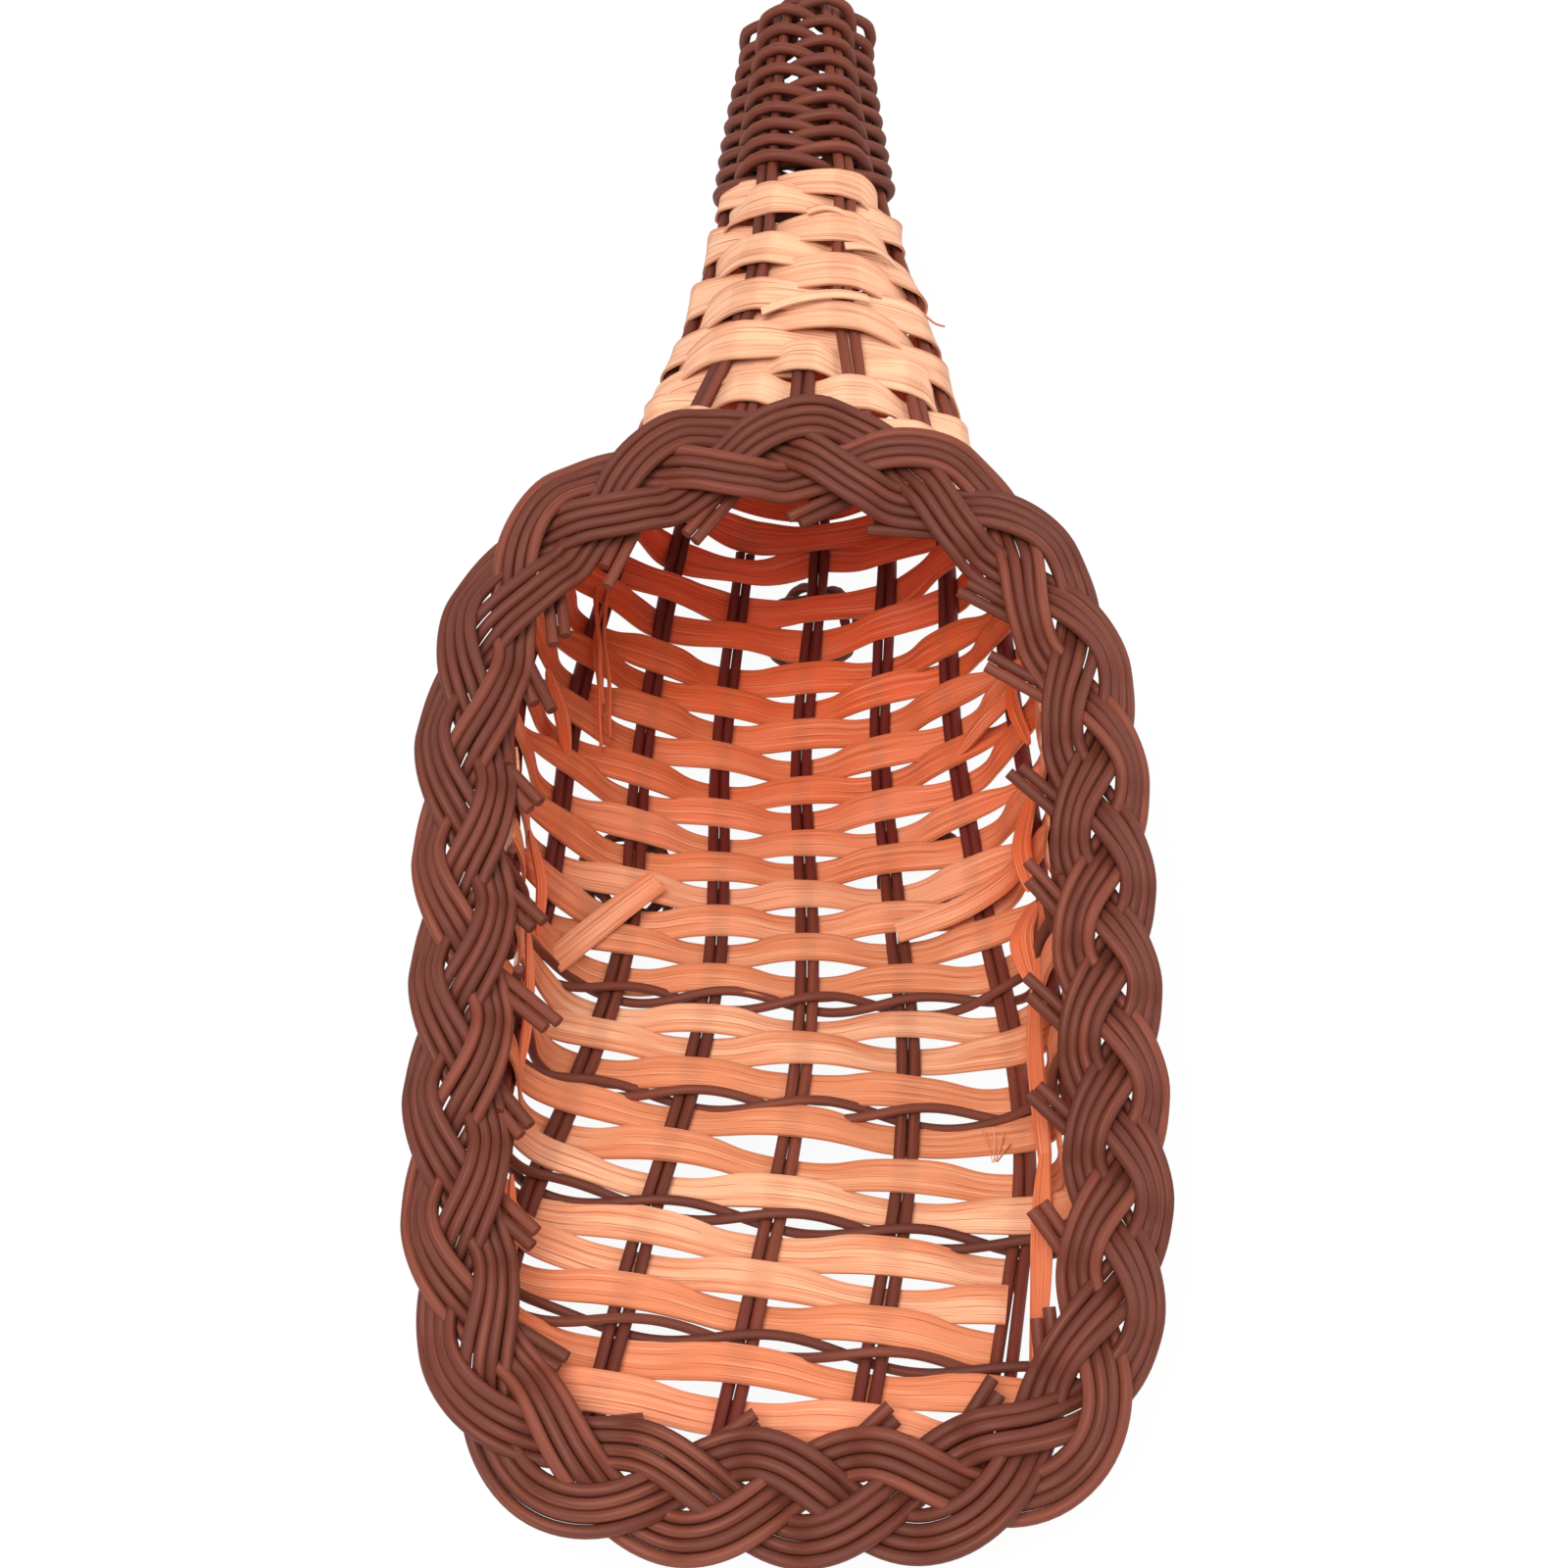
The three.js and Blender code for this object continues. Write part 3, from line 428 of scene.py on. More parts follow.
class Wire:
    """A shader socket that takes part in Python arithmetic."""

    def __init__(self, finish, socket):
        self.finish, self.socket = finish, socket

    __add__, __radd__ = both_ways("ADD")
    __sub__, __rsub__ = both_ways("SUBTRACT")
    __mul__, __rmul__ = both_ways("MULTIPLY")


class Finish:
    """A material, or the world, whose nodes are written as expressions."""

    def __init__(self, owner, surface="Principled BSDF"):
        self.owner = owner
        owner.use_nodes = True
        self.tree = owner.node_tree
        self.surface = self.tree.nodes[surface]

    def plug(self, socket, value):
        """Link a socket to a wire or give it a plain value."""
        if isinstance(value, Wire):
            self.tree.links.new(value.socket, socket)
        else:
            socket.default_value = value

    def node(self, kind, settings=None, values=None):
        made = self.tree.nodes.new(kind)
        for key, value in (settings or {}).items():
            setattr(made, key, value)
        for key, value in (values or {}).items():
            self.plug(made.inputs[key], value)
        return [Wire(self, socket) for socket in made.outputs]

    def feed(self, **sockets):
        """Plug values into the surface's own sockets."""
        for name, value in sockets.items():
            self.plug(self.surface.inputs[name.replace("_", " ")], value)

    def vector(self, name):
        return self.node("ShaderNodeAttribute", {"attribute_name": name})[1]

    def value(self, name):
        return self.node("ShaderNodeAttribute", {"attribute_name": name})[2]

    def noise(self, vector, stretch, detail, rough):
        scaled = self.node("ShaderNodeVectorMath", {"operation": "MULTIPLY"}, {0: vector, 1: stretch})[0]
        values = {"Vector": scaled, "Scale": 1.0, "Detail": detail, "Roughness": rough}
        return self.node("ShaderNodeTexNoise", None, values)[0]

    def range(self, value, low, high):
        values = {"Value": value, "From Min": low, "From Max": high}
        return self.node("ShaderNodeMapRange", {"interpolation_type": "SMOOTHSTEP"}, values)[0]

    def mix(self, factor, first, second):
        """Blend from a wire or a plain colour to another."""
        colours = [item if isinstance(item, Wire) else (*item, 1.0) for item in (first, second)]
        values = {0: factor, 6: colours[0], 7: colours[1]}
        return self.node("ShaderNodeMix", {"data_type": "RGBA"}, values)[2]

    def bump(self, height, strength, distance):
        values = {"Height": height, "Strength": strength, "Distance": distance}
        return self.node("ShaderNodeBump", None, values)[0]

    def seen(self):
        """One for what the camera, gloss or glass shows, nought for light on the object."""
        path = self.node("ShaderNodeLightPath")
        return path[0] + path[3] + path[6]


def linear(hex_code):
    """Linear colour of a screen colour given as six hex digits."""
    parts = [int(hex_code[i:i + 2], 16) / 255 for i in (0, 2, 4)]
    return tuple(c / 12.92 if c <= 0.04045 else ((c + 0.055) / 1.055) ** 2.4 for c in parts)


# Noise in the finishes: changes in a millimetre across, through and along, then detail and roughness
CHIP_FIBRE = (1.9, 0.3, 0.05), 5.0, 0.65
CHIP_BAND = (0.4, 0.2, 0.025), 2.0, 0.5
CHIP_LINE = (5.0, 0.5, 0.035), 3.0, 0.55
CORD_STREAK = (2.2, 2.2, 0.05), 4.0, 0.6
CORD_PATCH = (0.5, 0.5, 0.03), 2.0, 0.5

# Colours laid over the chip and the cord, gloss and roughness, strength and depth of the relief. Some of
# the colours are painted light: a red of light bounced round deep inside, a paler lit outside, shade where a
# stake lies behind a chip, shaded chip edges and shaded cord inside the horn
REFLECTED_RED_CHIP, LIT_PALE_CHIP, SHOW_THROUGH_CHIP = linear("ee5a34"), linear("e6bd9c"), linear("8a5840")
DARK_FIBRE, LIGHT_FIBRE, SHADED_CHIP_EDGE = linear("8c3c1a"), linear("ffd9b4"), linear("a04a24")
SHADED_INNER_CORD = linear("5a0f06")
CHIP_GLOSS, CORD_GLOSS, SMOOTHEST, ROUGHER = 0.35, 0.28, 0.52, 0.2
CHIP_RELIEF, CORD_RELIEF = (0.4, 0.0003), (0.3, 0.0002)


def chip_finish(settings):
    """Bare wood chip: straight fibres, fine dark lines, and painted light and shade: warmer inside the horn,
    a bounced red deep inside, paler outside, shaded edges and shade where a stake lies behind.
    """
    finish = Finish(bpy.data.materials.new("wood_chip"))
    grain = finish.vector("grain")
    tint, shade_warm, over, edge = (finish.value(name) for name in ("tint", "shade_warm", "over", "edge"))
    fibre, band, line = (finish.noise(grain, *noise) for noise in (CHIP_FIBRE, CHIP_BAND, CHIP_LINE))
    depth = finish.range(fibre * 0.5 + band * 0.5 + tint * 0.3 - 0.06, 0.40, 0.70)
    body = finish.mix(depth, settings.chip_pale, settings.chip_deep)
    # painted shade: deep inside the horn the chip turns to the inner shade colour
    inside = finish.range(shade_warm, 0.0, 1.0) * (1 - finish.range(tint, 0.35, 1.0) * 0.35)
    body = finish.mix(inside, body, settings.chip_inner_shade)
    for share, strength, colour in (
        # painted reflected light: red of light bounced round deep inside the horn
        (finish.range(shade_warm, 1.0, 1.6), 1.0, REFLECTED_RED_CHIP),
        # painted light: paler on the lit outside
        (finish.range(shade_warm, 0.0, -0.5), 0.3, LIT_PALE_CHIP),
        # painted shade where a stake lies behind the thin chip
        (over, 0.2, SHOW_THROUGH_CHIP),
        (finish.range(line, 0.54, 0.68), 0.72, DARK_FIBRE),
        (finish.range(line, 0.44, 0.30), 0.30, LIGHT_FIBRE),
        # painted shade along the chip's edges, between overlapping strips
        (finish.range(edge, 0.72, 1.0), 0.30, SHADED_CHIP_EDGE),
    ):
        body = finish.mix(share * strength, body, colour)
    finish.feed(
        Base_Color=body, Roughness=SMOOTHEST + fibre * ROUGHER, Specular_IOR_Level=CHIP_GLOSS,
        Normal=finish.bump(fibre * 0.6 + line * 0.4, *CHIP_RELIEF))
    return finish.owner


def cord_finish(settings):
    """Stained round cord: streaks along its length, lighter where the stain is thin, and painted shade,
    darker and redder inside the horn.
    """
    finish = Finish(bpy.data.materials.new("brown_cord"))
    grain = finish.vector("grain")
    tint, shade_warm = finish.value("tint"), finish.value("shade_warm")
    streak, patch = (finish.noise(grain, *noise) for noise in (CORD_STREAK, CORD_PATCH))
    thick = finish.range(streak * 0.6 + patch * 0.4 + tint * 0.25, 0.42, 0.75)
    thin = finish.range(patch * 0.5 + streak * 0.5, 0.52, 0.72)
    body = finish.mix(thick, settings.cord_body, settings.cord_dark)
    body = finish.mix(thin * 0.45, body, settings.cord_light)
    # painted shade: darker and redder where the cord lies inside the horn
    body = finish.mix(finish.range(shade_warm, 0.0, 0.7) * 0.9, body, SHADED_INNER_CORD)
    finish.feed(
        Base_Color=body, Roughness=SMOOTHEST + streak * ROUGHER, Specular_IOR_Level=CORD_GLOSS,
        Normal=finish.bump(streak, *CORD_RELIEF))
    return finish.owner


def finish_of(name, maker, settings):
    return bpy.data.materials.get(name) or maker(settings)


def size_setting(name, description, default, least):
    description = f"{description} in millimetres"
    return bpy.props.FloatProperty(name=name, description=description, default=default, min=least)


def colour_setting(name, description, default):
    return bpy.props.FloatVectorProperty(
        name=name, description=description, subtype="COLOR", default=linear(default))


class BasketSettings(bpy.types.PropertyGroup):
    """Sizes in millimetres and colours of the weaving materials."""

    cord_diameter: size_setting("Cord", "Diameter of the stakes and border cords", 2.2, 1.0)
    thin_cord_diameter: size_setting("Thin cord", "Diameter of the pairing cords", 1.8, 0.5)
    chip_width: size_setting("Chip width", "Width of a wood-chip strip", 6.9, 2.0)
    chip_thickness: size_setting("Chip thickness", "Thickness of a wood-chip strip", 0.5, 0.1)
    chip_pale: colour_setting("Pale chip", "Lightest chip colour", "ecae87")
    chip_deep: colour_setting("Deep chip", "Darker chip colour in the fibres", "d48057")
    # painted shade: the colour of the chip deep inside the horn
    chip_inner_shade: colour_setting("Inner chip", "Chip colour deep inside the horn", "d65a2c")
    cord_body: colour_setting("Cord colour", "Main colour of the stained cord", "7c3d2b")
    cord_dark: colour_setting("Dark cord", "Cord colour where the stain is thick", "59281b")
    cord_light: colour_setting("Light cord", "Cord colour where the stain is thin", "9b563e")


# Where chip and cord are painted warmer as shade: arcs on the way in, at the deepest place, past the neck
# and on the front, and fractions of the girth at the sides and on the crown, where it is painted paler as
# lit instead
WAY_IN, DEEPEST, LIP, FRONT = (75.0, 185.0), (165.0, 205.0), (7.0, 24.0), (30.0, 50.0)
PAST_NECK, LIT_FROM_NECK = (22.0, 60.0), 25.0
SIDES, CROWN = (0.1, 0.19), (0.22, 0.34)
# painted light on the outer faces and the outside of the tail: a negative value paints them paler
OUTER_WARMTH = -0.5


def shade_warmth(arc, fraction):
    """How far a strip is from the light, from the lip and the outside of the tail to deep inside."""
    wrapped = np.abs(fraction - np.round(fraction))
    past_neck = smoothstep(arc, *(horn.neck + place for place in PAST_NECK))
    # painted shade: a warmer colour deep inside, at the sides of the front floor and under the border at the
    # lip
    inside = smoothstep(arc, *WAY_IN) * (1 - past_neck * 0.6) + 0.5 * smoothstep(arc, *DEEPEST)
    beside = 0.5 * smoothstep(wrapped, *SIDES) * (1 - smoothstep(arc, *WAY_IN))
    lip = 0.3 * (1 - smoothstep(arc, *LIP)) + 0.2 * (1 - smoothstep(arc, *FRONT))
    # painted light: the outside of the tail past the neck is paler
    lit_outside = OUTER_WARMTH * smoothstep(arc, horn.neck, horn.neck + LIT_FROM_NECK)
    outside = smoothstep(wrapped, *CROWN)
    return (inside + beside + lip) * (1 - outside) + lit_outside * outside


# Stakes: first arc and pace of their points, how far below the last row of the neck the short ones end,
# how far above the mouth those on the floor, up to a number on each side, and those on the walls end,
# how far the two cords lie apart, and the stretch before the tip in which they calm down
STAKE_FROM, STAKE_PACE, STAKE_SHORT = -20.0, 1.5, 5.0
FLOOR_STAKES, FLOOR_STAKE_TOP, WALL_STAKE_TOP = 2, 2.0, -0.2
STAKE_SPREAD, STAKE_CALM = 1.02, 20.0

# Loops over the tail tip: part of the turn, width of the ring, dip towards its middle and height, both
# for a mean cord and the step to its twin, and the tuck beside the next stake
LOOP_TURN, LOOP_POINTS, LOOP_RING, LOOP_INSET = (0.06, 0.94), 12, 1.08, 0.5
LOOP_DIP, LOOP_HEIGHT, LOOP_LEAN = (0.42, 0.1), (1.2, 0.7), 3.0
TUCK_FROM, TUCK_TO, TUCK_LIFT = 2.0, 9.0, (-0.3, -2.4)


class BASKET_OT_stakes(bpy.types.Operator):
    """Lay the cord pairs that run along the horn"""

    bl_idname = "basket.stakes"
    bl_label = "Stakes"

    def execute(self, context):
        settings = context.scene.basket
        finish = finish_of("brown_cord", cord_finish, settings)
        radius = settings.cord_diameter / 2
        for number in STAKE_NUMBERS:
            rng = np.random.default_rng(STAKE_SEED + number)
            weave = Weave()
            is_long = number in TAIL_NUMBERS
            end = horn.length if is_long else SPIRAL_FROM + neck_rise(number) - STAKE_SHORT
            arcs = np.arange(STAKE_FROM, end, STAKE_PACE)
            height = horn.above_mouth(horn.point(arcs, stake_fraction(number, arcs)))
            arcs = arcs[height < (FLOOR_STAKE_TOP if abs(number) <= FLOOR_STAKES else WALL_STAKE_TOP)]
            loose = np.clip((end - arcs) / STAKE_CALM, 0, 1)
            for cord in (-1, 1):
                sway = wobble(rng, arcs, step=18.0, amount=0.15) * loose
                apart = cord * radius * STAKE_SPREAD + sway
                fraction = stake_fraction(number, arcs) + apart / horn.girth(arcs)
                spine = horn.point(arcs, fraction, wobble(rng, arcs, step=12.0, amount=0.1))
                side = horn.out(arcs, fraction)
                if is_long:
                    spine, side = self.loop_over(spine, side, fraction[-1], cord)
                shade_warm = np.zeros(len(spine))
                # painted shade: the cord is darker and redder inside the horn
                shade_warm[:len(arcs)] = shade_warmth(arcs, fraction)
                run = np.arange(len(spine)) * STAKE_PACE
                thickness = radius * (1 + wobble(rng, run, step=15.0, amount=0.02))
                weave.cord(spine, side, thickness, rng.random(), shade_warm)
            name = f"left_{-number}" if number < 0 else f"right_{number}" if number > 0 else "middle"
            weave.finish(f"stake_pair_{name}", finish, "cord", [f"stake_{name}"])
        return {"FINISHED"}

    def loop_over(self, spine, side, fraction, cord):
        """Carry a cord on over the tail tip and down beside the next long stake."""
        turn = np.linspace(*LOOP_TURN, LOOP_POINTS)
        around = fraction + smoothstep(turn, 0, 1) / len(TAIL_NUMBERS)
        bow = np.sin(np.pi * turn)
        dip, height = (mean + step * cord for mean, step in (LOOP_DIP, LOOP_HEIGHT))
        ring = (horn.point(horn.length - LOOP_INSET, around) - horn.tip) * LOOP_RING
        arch = horn.tip + ring * (1 - dip * bow)[:, None] + horn.tip_axis * (height * bow)[:, None]
        down = np.arange(horn.length - TUCK_FROM, horn.length - TUCK_TO, -STAKE_PACE)
        tuck = horn.point(down, np.full(len(down), around[-1]), np.linspace(*TUCK_LIFT, len(down)))
        arch_out = unit(arch - horn.tip + horn.tip_axis * LOOP_LEAN)
        outs = np.concatenate((side, arch_out, horn.out(down, around[-1])))
        return np.concatenate((spine, arch, tuck)), outs


# Pairings: pace of their points and room between the two cords
PAIRING_PACE, PAIRING_ROOM = 0.8, 0.5


class BASKET_OT_pairings(bpy.types.Operator):
    """Twist the thin cords in pairs round the stakes"""

    bl_idname = "basket.pairings"
    bl_label = "Pairings"

    def execute(self, context):
        settings = context.scene.basket
        finish = finish_of("brown_cord", cord_finish, settings)
        radius = settings.thin_cord_diameter / 2
        over = settings.cord_diameter / 2 + radius
        for row, arc in enumerate(PAIRING_ARCS, 1):
            left, right = row_span(arc, PAIRING_WIDTH)
            marks = [crossing(number, arc) for number in STAKE_NUMBERS]
            marks = [mark for mark in marks if left < mark < right]
            steps = np.arange(left, right, PAIRING_PACE / horn.girth(arc))
            gap = marks[1] - marks[0]
            stops = [marks[0] - gap] + marks + [marks[-1] + gap]
            turns = np.interp(steps, stops, np.pi * (np.arange(len(stops)) - 0.5))
            for half, letter in enumerate("ab"):
                rng = np.random.default_rng(PAIRING_SEED + 2 * row + half)
                weave = Weave()
                angle = turns + half * math.pi
                drift = wobble(rng, steps * horn.girth(arc), step=25.0, amount=0.3)
                place = row_arc(arc + (radius + PAIRING_ROOM) * np.cos(angle) + drift, steps)
                spine = horn.point(place, steps, over * np.sin(angle))
                weave.cord(spine, horn.out(place, steps), radius, rng.random())
                node = f"pairing_{row}_cord_{letter}"
                weave.finish(f"pairing_{row}_{letter}", finish, "cord", [node])
        return {"FINISHED"}


# Strips across the horn: how squarely they bend, where a stake lies behind them and darkens them as painted
# shade, where they face inwards, half the distance over which their side direction is taken, their width,
# the room and chance place of a row, the pinch on the walls of the belly, and the ends where both faces
# look alike, away from which the outer face is painted paler as lit
STRIP_BEND, STAKE_BEHIND, FACING_IN, SIDE_STEP = 1.1, (0.9, 1.0), (-0.6, 0.9), 2.0
STRIP_WIDTH, WIDER_INSIDE, ROOM_SHARE, ROW_OFFSET = 0.9, 0.12, 0.54, 0.4
WALL_FRACTIONS, WALL_ARCS, WALL_PINCH, PINCH_INSIDE = (0.11, 0.19), (95.0, 120.0), 0.36, 0.22
END_FADE = (6.0, 16.0)


def strip_row(weave, rng, settings, arc, parity, ends, fill, slack):
    """One flat strip across the horn, over one stake and under the next, with slack in its waves."""
    girth = horn.girth(arc)
    thickness = settings.chip_thickness
    height = settings.cord_diameter / 2 + thickness / 2 + slack
    steps = np.arange(ends[0], ends[1], 1.0 / girth)
    marks = [crossing(number, arc) for number in STAKE_NUMBERS]
    wave = np.cos(np.pi * (np.interp(steps, marks, STAKE_NUMBERS) + parity))
    run = steps * girth
    lift = height * np.tanh(STRIP_BEND * wave) / np.tanh(STRIP_BEND)
    lift = lift + wobble(rng, run, step=20.0, amount=0.12)
    centre = arc + rng.normal(0.0, ROW_OFFSET) + wobble(rng, run, step=26.0, amount=0.55)
    place = row_arc(centre, steps)
    before, beyond = (
        horn.point(row_arc(centre + step, steps), steps) for step in (-SIDE_STEP, SIDE_STEP))
    twist = horn.out(place, steps) * wobble(rng, run, step=14.0, amount=0.07)[:, None]
    inside = smoothstep(-lift / height, *FACING_IN)
    half = STRIP_WIDTH + WIDER_INSIDE * inside + wobble(rng, run, step=16.0, amount=0.05)
    half = settings.chip_width / 2 * fill * half
    wall = smoothstep(np.abs(steps), *WALL_FRACTIONS) * smoothstep(arc, *WALL_ARCS)
    half = half * (1 - wall * (WALL_PINCH - PINCH_INSIDE * inside))
    low, high = (
        horn.point(row_arc(arc + edge, steps), steps) for edge in (-ROW_PITCH / 2, ROW_PITCH / 2))
    half = np.minimum(half, np.linalg.norm(high - low, axis=1) * ROOM_SHARE)
    # painted shade as a warmer colour, painted light paler on the outer face away from the ends, and painted
    # shade where a stake lies behind
    shade_warm = shade_warmth(arc, steps)
    outside = smoothstep(np.minimum(run - run[0], run[-1] - run), *END_FADE)
    weave.strip(
        horn.point(place, steps, lift), unit(beyond - before) + twist, half, thickness, rng.random(),
        shade_warm, smoothstep(-wave, *STAKE_BEHIND), shade_warm + (OUTER_WARMTH - shade_warm) * outside)


# Loose ends: points for each place, thickness beside a strip's, power of the taper, and the painted shade, a
# warmer colour, that those on edge have
LOOSE_POINTS, LOOSE_THINNESS, TAPER_POWER, EDGE_ON_SHADE = 8, 0.8, 2.5, 0.2


def loose_strip(weave, rng, settings, places, half_width, lean=0.0, taper=0.0):
    """A strip end that has sprung free, through places given as arc, fraction and lift."""
    share = np.linspace(0, 1, LOOSE_POINTS * len(places))
    arc, fraction, lift = spline(places, share).T
    half_width = half_width * (1 - taper * np.abs(2 * share - 1) ** TAPER_POWER)
    spine = horn.point(arc, fraction, lift)
    out = horn.out(arc, fraction)
    side = unit(unit(np.cross(out, np.gradient(spine, axis=0))) + out * lean)
    # painted shade: those on edge are a warmer colour
    shade_warm = shade_warmth(arc, fraction) + (EDGE_ON_SHADE if lean else 0.0)
    weave.strip(spine, side, half_width, settings.chip_thickness * LOOSE_THINNESS, rng.random(), shade_warm)


# Front strips: width and slack, with a wider first one nearer the lip, how far short of the rim they
# are cut on the right, and loose bits: splinters at an edge and chips that lie along the wall, as arc,
# fraction and lift of each place, half width, lean and taper
FRONT_FILL, FRONT_SLACK, LIP_FILL, LIP_DROP = (0.94, 1.03), 0.25, 1.12, 0.8
FRONT_CUTS = ((0.5, 2.0),) * 2 + ((14.0, 17.0),) * 3 + ((1.0, 2.5),) * 3 + ((0.3, 1.8),) * 3
FRONT_LOOSE = {
    4: (
        (((12.0, 0.137, -2.0), (31.0, 0.152, -3.0), (46.0, 0.166, -3.2), (58.0, 0.180, -2.2)), 1.9, 0.5, 0.8),
        (((20.0, -0.178, -1.8), (33.0, -0.192, -2.8), (46.0, -0.200, -2.0)), 1.3, -0.5, 0.8),
    ),
    7: (
        (((56.5, 0.126, -1.6), (59.0, 0.128, -2.6), (62.0, 0.129, -4.2)), 0.09),
        (((56.5, 0.127, -1.6), (58.5, 0.131, -2.4), (60.6, 0.137, -4.4)), 0.08),
        (((56.5, 0.128, -1.6), (57.6, 0.133, -2.4), (58.6, 0.140, -3.6)), 0.07),
        (((56.5, 0.125, -1.6), (59.4, 0.124, -2.2), (62.8, 0.121, -3.2)), 0.08),
    ),
    9: (
        (((50.0, 0.168, -2.2), (62.0, 0.186, -3.4), (76.0, 0.196, -3.4), (90.0, 0.208, -2.0)), 2.2, 0.5, 0.7),
        (((60.0, 0.172, -1.5), (72.0, 0.182, -3.4), (84.0, 0.192, -2.0)), 1.1, 0.3, 0.8),
        (((66.0, -0.206, -1.8), (78.0, -0.216, -2.8), (96.0, -0.218, -2.0)), 1.4, -0.5, 0.8),
    ),
}


class BASKET_OT_front_strips(bpy.types.Operator):
    """Weave the short strips across the floor of the mouth"""

    bl_idname = "basket.front_strips"
    bl_label = "Front strips"

    def execute(self, context):
        settings = context.scene.basket
        finish = finish_of("wood_chip", chip_finish, settings)
        for row, arc in enumerate(FRONT_ARCS):
            rng = np.random.default_rng(FRONT_SEED + row)
            weave = Weave()
            left, right = row_span(arc, ROW_WIDTH)
            ends = left, right - rng.uniform(*FRONT_CUTS[row]) / float(horn.girth(arc))
            fill = rng.uniform(*FRONT_FILL)
            if row == 0:
                arc, fill = arc - LIP_DROP, fill * LIP_FILL
            strip_row(weave, rng, settings, arc, row, ends, fill, FRONT_SLACK)
            for loose in FRONT_LOOSE.get(row, ()):
                loose_strip(weave, rng, settings, *loose)
            weave.finish(f"front_chip_{row + 1}", finish, "chip", [f"front_strip_{row + 1}"])
        return {"FINISHED"}


# Belly strips: width and slack, and ends that have sprung free inside: arc, fraction and lift of each
# place, half width, lean and taper
BELLY_FILL, BELLY_SLACK = (0.95, 1.06), 0.3
LOOSE_STRIPS = {
    1: (
        (((98.5, -0.157, -1.8), (107.0, -0.132, -2.8), (115.0, -0.108, -3.4), (122.0, -0.086, -3.6)), 2.6),
        (((89.0, 0.186, -2.4), (96.0, 0.196, -4.8), (104.0, 0.196, -2.0)), 2.2, 0.7, 0.5),
        (((88.0, 0.196, -2.4), (95.0, 0.208, -4.0), (101.0, 0.214, -2.0)), 1.6, 0.7, 0.7),
        (((100.0, -0.182, -1.8), (109.0, -0.194, -3.4), (119.0, -0.206, -1.8)), 1.5, -0.4, 0.8),
    ),
    2: (
        (((110.5, 0.076, -2.2), (112.5, 0.110, -3.2), (114.5, 0.150, -3.4), (115.0, 0.190, -2.6)), 2.6),
        (((106.0, 0.204, -2.4), (114.0, 0.211, -4.4), (124.0, 0.216, -2.4)), 2.4, 0.6, 0.5),
    ),
    3: (
        (((136.0, 0.226, -2.0), (146.0, 0.224, -3.6), (156.0, 0.214, -2.0)), 1.6, 0.5, 0.8),
    ),
    4: (
        (((144.0, -0.170, -1.8), (151.0, -0.192, -3.6), (160.0, -0.216, -1.8)), 1.8, -0.3, 0.8),
        (((149.0, 0.146, -1.8), (151.0, 0.182, -3.6), (152.5, 0.221, -2.0)), 2.0, 0.0, 0.5),
    ),
    5: (
        (((190.0, -0.206, -1.6), (176.0, -0.186, -4.0), (165.0, -0.160, -4.6), (154.0, -0.138, -2.4)), 0.4),
        (((188.0, -0.198, -1.6), (174.0, -0.190, -3.2), (163.0, -0.166, -4.0), (150.0, -0.144, -2.8)), 0.35),
        (((186.0, -0.214, -1.6), (178.0, -0.196, -3.0), (168.0, -0.168, -3.2), (158.0, -0.150, -2.0)), 0.3),
        (((184.0, -0.210, -1.6), (172.0, -0.186, -4.8), (160.0, -0.156, -3.6)), 0.5),
    ),
}


class BASKET_OT_belly_strips(bpy.types.Operator):
    """Weave the strips of the belly from rim to rim"""

    bl_idname = "basket.belly_strips"
    bl_label = "Belly strips"

    def execute(self, context):
        settings = context.scene.basket
        finish = finish_of("wood_chip", chip_finish, settings)
        for first in range(0, len(BELLY_ARCS), 2):
            weave = Weave()
            for row in range(first, min(first + 2, len(BELLY_ARCS))):
                rng = np.random.default_rng(BELLY_SEED + row)
                arc = BELLY_ARCS[row]
                ends, fill = row_span(arc, ROW_WIDTH), rng.uniform(*BELLY_FILL)
                strip_row(weave, rng, settings, arc, row, ends, fill, BELLY_SLACK)
            index = first // 2 + 1
            for loose in LOOSE_STRIPS.get(index, ()):
                loose_strip(weave, rng, settings, *loose)
            weave.finish(f"belly_chip_{index}", finish, "chip", [f"belly_strip_{index}"])
        return {"FINISHED"}


def spiral_path(start, pitch, turns, numbers, height, seat, step, lead=0.0):
    """Arc, fraction and lift along a spiral over and under an odd number of stakes.

    The lead is a length that runs on beyond the first and the last stake."""
    marks, lifts, places = [], [], []
    for index in range(int(turns * len(numbers)) + 1):
        turn, stake = divmod(index, len(numbers))
        number = numbers[stake]
        arc = start + pitch * index / len(numbers)
        mark = turn + float(stake_fraction(number, tail_arc(arc, stake_fraction(number, arc))))
        for shift in (-seat, seat):
            marks.append(mark + shift / horn.girth(arc))
            lifts.append(-height if index % 2 == 0 else height)
            places.append(arc)
    lead = lead / horn.girth(start)
    fraction = np.arange(marks[0] - lead, marks[-1] + lead, step / horn.girth(start))
    return np.interp(fraction, marks, places), fraction, np.interp(fraction, marks, lifts)


# Strips of the neck and tail: slack, pace of their points, length beyond the last stake, points over
# which they bend, place where a stake lies behind and darkens them as painted shade, room below the
# winding and the border, and least width
SPIRAL_SLACK, SPIRAL_PACE, SPIRAL_LEAD, SPIRAL_BEND = 0.35, 1.0, 14.0, 4
SPIRAL_STAKE_BEHIND, SPIRAL_WIDER, SPIRAL_TINT = (0.85, 1.0), 0.14, 0.6
WINDING_ROOM, BORDER_ROOM, LEAST_HALF = 0.2, 2.5, 0.6
NECK_FILL, TAIL_FILL = 0.88, 1.02
